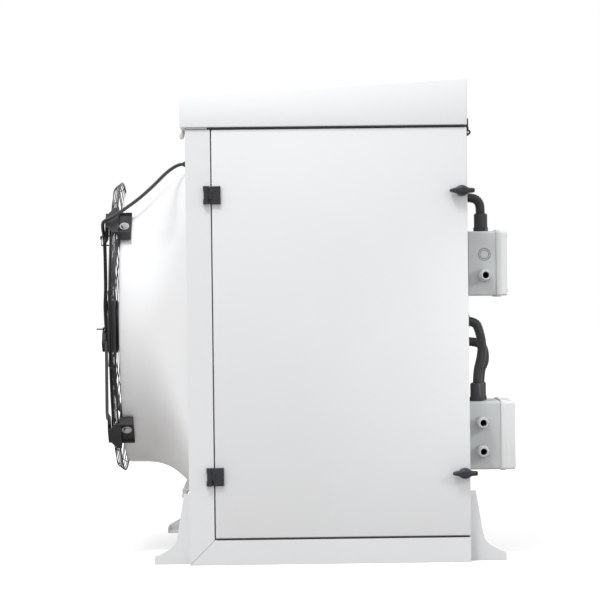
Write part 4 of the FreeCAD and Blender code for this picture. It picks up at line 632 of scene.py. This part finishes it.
def line_of(curve):
    """The points that a curve without a bevel really passes, in order, and its length."""
    mesh = bpy.data.meshes.new_from_object(curve)
    points = [v.co.copy() for v in mesh.vertices]
    bpy.data.meshes.remove(mesh)
    length = sum((b - a).length for a, b in zip(points, points[1:]))
    return points, length


print("routes", {name: len(points) for name, points in ROUTES.items()})

# %% Motor cable
CABLE_DIAMETER = 0.010
cable = spline("motor_cable_run", ROUTES["motor_cable"])
cable_line, cable_length = line_of(cable)
cable.data.bevel_depth = CABLE_DIAMETER / 2
cable.data.bevel_resolution = 5
cable.data.use_fill_caps = True
cable.data.materials.append(FINISH["cable_black"])
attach(cable, "cabinet")
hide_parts("motor_cable")
print("motor cable", round(cable_length, 3))

# %% Corrugated conduits
CONDUIT_RADIUS = 0.0135
RIB_PITCH = 0.0051
RIB_DEPTH = 0.0014
GROOVE = 1 - RIB_DEPTH / CONDUIT_RADIUS
RIB_PROFILE = (1.0, 1.0, 1.0, 1.0, GROOVE, GROOVE)


def evenly(points, step):
    """Points a step apart along a line of points."""
    made = [points[0]]
    left = step
    for a, b in zip(points, points[1:]):
        run = (b - a).length
        at = left
        while at <= run:
            made.append(a.lerp(b, at / run))
            at += step
        left = at - run
    return made


def conduit(name):
    """A tube along the spline whose radius goes in and out as a corrugated conduit's does."""
    guide = spline(name + "_guide", ROUTES[name])
    points, real = line_of(guide)
    bpy.data.objects.remove(guide)
    stations = evenly(points, RIB_PITCH / len(RIB_PROFILE))
    data = bpy.data.curves.new(name + "_run", "CURVE")
    data.dimensions = "3D"
    data.bevel_depth = CONDUIT_RADIUS
    data.bevel_resolution = 5
    data.use_fill_caps = True
    line = data.splines.new("POLY")
    line.points.add(len(stations) - 1)
    for i, place in enumerate(stations):
        line.points[i].co = (*place, 1.0)
        line.points[i].radius = RIB_PROFILE[i % len(RIB_PROFILE)]
    tube = bpy.data.objects.new(name + "_run", data)
    bpy.context.collection.objects.link(tube)
    only(tube)
    bpy.ops.object.convert(target="MESH")
    tube = bpy.context.object
    settle(tube, name + "_run", "cabinet", "cable_black", name, smooth=60)
    print(name, "length", round(real, 3))
    return tube


for name in ("upper_conduit", "lower_conduit_front", "lower_conduit_back"):
    conduit(name)

# %% [markdown]
# ## Copies of the solids with broken edges
# Folded sheet, castings and machined parts have no knife edges. For a solid that already has the right
# form, the shortest way is a copy of its mesh: its loose triangles are merged, flat areas are dissolved
# to clean faces, and a small bevel breaks the edges, so that they catch the light.

# %% Dressed copies
MERGE_GAP = 0.00002
FLAT_ANGLE = 1.5
DRESSED_NODES = (
    "front_panel", "bottom_rails", "rear_panel", "top_frame", "base_pan", "motor_arms", "guard_brackets",
    "front_feet", "rear_feet", "drip_lip", "upper_box_body", "lower_box_body", "hinge_frames",
    "door_hinge_leaves", "lid_hinge_leaves", "lid_seal", "lid_pull", "upper_box_cover", "lower_box_cover",
    "cable_glands", "conduit_glands", "conduit_bushes", "cable_ties", "fan_motor", "fan_rotor",
    "fan_blades")


def dressed(node, width=0.0006, segments=1, angle=30, suffix="_finished"):
    """A copy of a CAD solid with merged faces and broken edges, which stands for the solid."""
    source = NODES[node]
    twin = bpy.data.objects.new(node + suffix, source.data.copy())
    bpy.context.collection.objects.link(twin)
    twin.matrix_world = source.matrix_world
    only(twin)
    bpy.ops.object.mode_set(mode="EDIT")
    bpy.ops.mesh.select_all(action="SELECT")
    bpy.ops.mesh.remove_doubles(threshold=MERGE_GAP)
    bpy.ops.mesh.dissolve_limited(angle_limit=math.radians(FLAT_ANGLE))
    leave()
    if width:
        rounded(twin, width, segments, angle)
    return settle(twin, node + suffix, BODY_OF[node], SLOT_OF[node], node)


for node in DRESSED_NODES:
    dressed(node)

# %% [markdown]
# ## Finishes on the solids that stay
# What lies inside the cabinet keeps its CAD form, and takes its finish from the record's slots.

# %% Finishes for the rest
for node, obj in NODES.items():
    obj.data.materials.clear()
    obj.data.materials.append(FINISH[SLOT_OF[node]])
print("solids with a finish", len(NODES))

# %% [markdown]
# ## Door, side panel and lid
# Each is a folded tray. The way to make one is to start from a block of its size, open the back with an
# inset, round the outer folds and give the skin its thickness.

# %% Folded trays
FOLD = 0.003
PANEL_LIP = 0.014
LID_LIP = 0.042


def tray(name, low, high, open_side, lip):
    """A block with rounded outer folds whose open side keeps a lip all round, made of sheet."""
    low, high = Vector(low), Vector(high)
    bpy.ops.object.select_all(action="DESELECT")
    bpy.ops.mesh.primitive_cube_add(size=1, location=(low + high) / 2)
    obj = bpy.context.object
    obj.scale = high - low
    fixed_in_place(obj)
    side = Vector(open_side)
    take(obj, "face", lambda place, normal: normal.dot(side) > 0.9)
    bpy.ops.mesh.inset(thickness=lip)
    bpy.ops.mesh.delete(type="FACE")
    leave()
    obj.name = name
    return obj


def folded(obj, body, slot, *nodes):
    """Rounds the folds of a tray and gives it the thickness of its sheet."""
    rounded(obj, FOLD, 3, 40)
    applied(obj, "SOLIDIFY", thickness=SHEET, offset=-1.0)
    return settle(obj, obj.name, body, slot, *nodes)


door = tray("door_skin", (DOOR_LEFT, NEAR, DOOR_BOTTOM), (DOOR_RIGHT, NEAR + DOOR_DEPTH, CABINET_TOP),
            (0, 1, 0), PANEL_LIP)
folded(door, "door", "cabinet_white", "door_panel")
side = tray("far_side_skin", (DOOR_LEFT, FAR - DOOR_DEPTH, DOOR_BOTTOM), (DOOR_RIGHT, FAR, CABINET_TOP),
            (0, -1, 0), PANEL_LIP)
folded(side, "cabinet", "cabinet_white", "far_side_panel")

# %% Lid
LID_FRONT = -0.404
LID_HALF = 0.484
LID_BOTTOM = 1.209
LID_REAR_TOP = 1.338
LID_FRONT_DROP = 0.040
lid = tray("lid_skin", (LID_FRONT, -LID_HALF, LID_BOTTOM), (REAR, LID_HALF, LID_REAR_TOP), (0, 0, -1),
           LID_LIP)
take(lid, "vert", lambda place: place.z > LID_REAR_TOP - 0.001 and place.x < 0)
bpy.ops.transform.translate(value=(0, 0, -LID_FRONT_DROP))
leave()
folded(lid, "lid", "cabinet_white", "lid_panel")

# %% [markdown]
# ## Dark cords in the gaps, as painted shade
# A round black cord lies in the mouth of the gap under each long edge of the lid, and a thinner one in
# the gap under the door: painted shade that makes the gaps read as dark lines. A short grey cord in the
# lid's gap in front of the first is painted shade over the top of the front post.

# %% Gap cords of painted shade
LID_GAP_Z, LID_GAP_RADIUS, LID_GAP_INSET = 1.206, 0.0028, 0.0006
LID_GAP_START, LID_GAP_END = -0.326, 0.383
FILLER_START, FILLER_END = -0.386, -0.329
DOOR_GAP_Z, DOOR_GAP_RADIUS, DOOR_GAP_INSET = 0.0702, 0.0022, 0.002
DOOR_GAP_START, DOOR_GAP_END = -0.312, 0.384


def gap_shade_cord(name, start, end, radius, slot="seal_black"):
    """A dark round cord that lies in a gap of the cabinet, with rounded ends, as painted shade."""
    seal = bent_wire([start, end], radius)
    rounded(seal, radius * 0.6, 2, 60)
    return settle(seal, name, "cabinet", slot, smooth=60)


# Painted shade: black cords at the mouths of the lid's gaps.
for name, y in (("lid_gap_seal_near", NEAR + LID_GAP_INSET), ("lid_gap_seal_far", FAR - LID_GAP_INSET)):
    gap_shade_cord(name, (LID_GAP_START, y, LID_GAP_Z), (LID_GAP_END, y, LID_GAP_Z), LID_GAP_RADIUS)
# Painted shade: a grey cord over the front post's top, which lies in shade under the lid.
gap_shade_cord("lid_gap_filler", (FILLER_START, NEAR + LID_GAP_INSET, LID_GAP_Z),
         (FILLER_END, NEAR + LID_GAP_INSET, LID_GAP_Z), LID_GAP_RADIUS, "gear_grey")
# Painted shade: a black cord at the mouth of the gap under the door.
gap_shade_cord("door_foot_seal", (DOOR_GAP_START, NEAR + DOOR_GAP_INSET, DOOR_GAP_Z),
         (DOOR_GAP_END, NEAR + DOOR_GAP_INSET, DOOR_GAP_Z), DOOR_GAP_RADIUS)

# %% [markdown]
# ## Wing knobs
# A wing knob is one soft moulding: a round hub from which two wings taper to rounded tips. It starts as a
# block that is divided along its length, each section gets its own height and depth, and subdivision
# rounds the whole. A section is written as its place along the wings, its half height, and how far it
# stays clear of the knob's back and front planes, in millimetres.

# %% Wing knobs
MM = 0.001
KNOB_X = 0.373
KNOB_FRONT = -0.514
KNOB_BACK = -0.4805
KNOB_HUB_HALF = 12
KNOB_TAPER = 0.72
KNOB_SECTIONS = (
    (-35.0, 3.2, 9.0, 3.5), (-31.0, 5.6, 7.0, 1.0), (-22.0, 8.2, 8.0, 2.0), (-15.5, 9.6, 10.0, 4.0),
    (-11.5, 15.0, 14.0, 4.6), (0.0, 19.5, 15.5, 1.4), (11.5, 15.0, 14.0, 4.6), (15.5, 9.6, 10.0, 4.0),
    (22.0, 8.4, 8.0, 2.0), (31.0, 8.0, 7.0, 1.0), (35.0, 6.0, 9.0, 3.5))


def wing_knob(name, node, body):
    """A soft moulding whose sections are set one by one. The hub reaches back to the door."""
    low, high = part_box(node)
    z = low[2] + 0.5 * (high[2] - low[2])
    bpy.ops.object.select_all(action="DESELECT")
    bpy.ops.mesh.primitive_grid_add(x_subdivisions=len(KNOB_SECTIONS) - 1, y_subdivisions=3, size=1)
    obj = bpy.context.object
    applied(obj, "SOLIDIFY", thickness=0.4, offset=0.0)
    columns = sorted({round(v.co.x, 4) for v in obj.data.vertices})
    for vertex in obj.data.vertices:
        x, half, from_back, from_front = KNOB_SECTIONS[columns.index(round(vertex.co.x, 4))]
        back, front = KNOB_BACK - from_back * MM, KNOB_FRONT + from_front * MM
        if abs(x) < KNOB_HUB_HALF:
            back = KNOB_BACK
        side = vertex.co.y * 2 * half * MM
        taper = 1.0 if vertex.co.z < 0 else KNOB_TAPER
        vertex.co = (KNOB_X + x * MM, back if vertex.co.z < 0 else front, z + side * taper)
    take(obj, "face", lambda place, normal: True)
    bpy.ops.mesh.normals_make_consistent(inside=False)
    leave()
    applied(obj, "SUBSURF", levels=2, render_levels=2)
    return settle(obj, name, body, "fitting_black", node, smooth=70, outwards=True)


wing_knob("upper_knob_moulding", "upper_wing_knob", "upper_knob")
wing_knob("lower_knob_moulding", "lower_wing_knob", "lower_knob")

# %% [markdown]
# ## Details on the boxes
# The upper box has a round knockout pressed into its side. Its two grooves are drawn as fine dark rings:
# painted shade for the shade inside the grooves.

# %% Box details
KNOCKOUT_PLACE = (0.441, -0.4, 0.851)
KNOCKOUT_RADII = (0.0168, 0.0122)
KNOCKOUT_LINE = 0.0007
# Painted shade: dark rings stand in for the shade inside the knockout's pressed grooves.
for radius in KNOCKOUT_RADII:
    bpy.ops.object.select_all(action="DESELECT")
    bpy.ops.mesh.primitive_torus_add(location=KNOCKOUT_PLACE, rotation=(math.radians(90), 0, 0),
                                     major_radius=radius, minor_radius=KNOCKOUT_LINE,
                                     major_segments=48, minor_segments=8)
    name = "knockout_line_%d" % round(radius * 10000)
    settle(bpy.context.object, name, "cabinet", "blade_grey", smooth=60)

# %% [markdown]
# ## Fan bell
# The bell is one glossy moulding: round at its mouth, nearly square where it meets the cabinet. It is
# drawn as a ring that is extruded stage by stage from the mouth to the base. Each new ring is then set to
# its own outline, between a circle and a square with round corners. A stage is the share of the length
# that is left to the base, the growth of the radius, and how square the ring is.

# %% Bell outline
BELL_POINTS = 128
BELL_RADIUS = 0.401
BELL_LENGTH = 0.194
BELL_WALL = 0.004
BELL_STAGES = (
    (1.0, -0.010, 0.0), (0.992, -0.004, 0.0), (0.975, -0.0005, 0.0), (0.95, 0.0, 0.0), (0.8, 0.0, 0.0),
    (0.62, 0.0005, 0.005), (0.48, 0.0032, 0.1), (0.38, 0.0074, 0.19), (0.28, 0.0138, 0.3),
    (0.2, 0.0212, 0.4), (0.12, 0.0304, 0.5), (0.06, 0.0377, 0.57), (0.0, 0.046, 0.62))


def outline_point(angle, half, square):
    """A point of a square with rounded corners, at an even angle about the fan axis."""
    corner = half * (1 - square)
    flat = half - corner
    c, s = math.cos(angle), math.sin(angle)
    big, small = max(abs(c), abs(s)), min(abs(c), abs(s))
    if small / big * half <= flat:
        reach = half / big
    else:
        along = flat * (big + small)
        reach = along + math.sqrt(max(along * along - 2 * flat * flat + corner * corner, 0))
    return reach * c, reach * s


def bell_ring(obj, indices, stage):
    """Sets one ring of the bell to its place and outline."""
    share, grow, square = stage
    for k, index in enumerate(indices):
        y, z = outline_point(2 * math.pi * k / BELL_POINTS, BELL_RADIUS + grow, square)
        obj.data.vertices[index].co = (FRONT - share * BELL_LENGTH, y, FAN_Z + z)


print("bell stages", len(BELL_STAGES))

# %% Bell shell
def bell():
    """The ring of the mouth, extruded once per stage, then given the thickness of its wall."""
    bpy.ops.object.select_all(action="DESELECT")
    bpy.ops.mesh.primitive_circle_add(vertices=BELL_POINTS, radius=BELL_RADIUS)
    obj = bpy.context.object
    bell_ring(obj, range(BELL_POINTS), BELL_STAGES[0])
    for number, stage in enumerate(BELL_STAGES[1:], 1):
        bpy.ops.object.mode_set(mode="EDIT")
        bpy.ops.mesh.select_mode(type="EDGE")
        if number == 1:
            bpy.ops.mesh.select_all(action="SELECT")
        bpy.ops.mesh.extrude_edges_move(TRANSFORM_OT_translate={"value": (0.001, 0, 0)})
        leave()
        bell_ring(obj, range(number * BELL_POINTS, (number + 1) * BELL_POINTS), stage)
    bpy.ops.object.mode_set(mode="EDIT")
    bpy.ops.mesh.select_all(action="SELECT")
    bpy.ops.mesh.normals_make_consistent(inside=False)
    leave()
    applied(obj, "SUBSURF", levels=1, render_levels=1)
    applied(obj, "SOLIDIFY", thickness=BELL_WALL, offset=-1.0)
    return obj


bell_shell = settle(bell(), "bell_moulding", "cabinet", "bell_gloss", "fan_bell", smooth=50)
print("bell box", [round(v, 3) for v in bell_shell.dimensions])

# %% [markdown]
# ## Wire guard
# Round wire is a torus for each ring and a bent rod for each spoke. The front is slightly dished: flat
# near the axis, then back in a straight slope. One spoke is drawn as a thin tube along its line, a row of
# places along the axis with their radii, and then copied round the axis.

# %% Guard rings and spokes
WIRE = 0.0013
RIM_WIRE = 0.0028
GUARD_DISH = 0.017
DISH_START, DISH_REACH = 0.088, 0.311
GUARD_INNER = 0.092
RING_GAP = 0.0394
RING_COUNT = 8
RING_BACK = 0.0055
WALL_RINGS = ((0.407, -0.6115), (0.4145, -0.6095), (0.4185, -0.604), (0.4225, -0.599))
RIM_RADIUS = 0.424
RIM_X = BELL_MOUTH - 0.010
SPOKE_COUNT = 12
SPOKE_BACK = 0.0025


def guard_front(radius):
    """Place along the fan axis of the dished guard at a radius."""
    return GUARD_PLANE + GUARD_DISH * max(0.0, radius - DISH_START) / DISH_REACH


def wire_ring(radius, x, wire=WIRE):
    """A round wire bent to a ring about the fan axis."""
    bpy.ops.mesh.primitive_torus_add(location=(x, 0, FAN_Z), rotation=(0, math.radians(90), 0),
                                     major_radius=radius, minor_radius=wire,
                                     major_segments=96, minor_segments=8)
    return fixed_in_place(bpy.context.object)


rings = []
for i in range(RING_COUNT):
    radius = GUARD_INNER + i * RING_GAP
    rings.append(wire_ring(radius, guard_front(radius) + RING_BACK))
for radius, x in WALL_RINGS:
    rings.append(wire_ring(radius, x))
rings.append(wire_ring(RIM_RADIUS, RIM_X, RIM_WIRE))
SPOKE_LINE = (
    (guard_front(0.090) + SPOKE_BACK, 0.090), (guard_front(0.402) + SPOKE_BACK, 0.402),
    (guard_front(0.402) + 0.004, 0.409), (-0.6105, 0.4165), (RIM_X - 0.002, 0.4262))
spoke = bent_wire([(x, 0, FAN_Z + radius) for x, radius in SPOKE_LINE], WIRE)
spokes = [copy_of(spoke, about_fan(360 * (i + 0.5) / SPOKE_COUNT)) for i in range(SPOKE_COUNT)]
bpy.data.objects.remove(spoke)
guard = joined(rings + spokes, "guard_wires")
settle(guard, "guard_wires", "cabinet", "guard_black", "wire_guard", smooth=60)
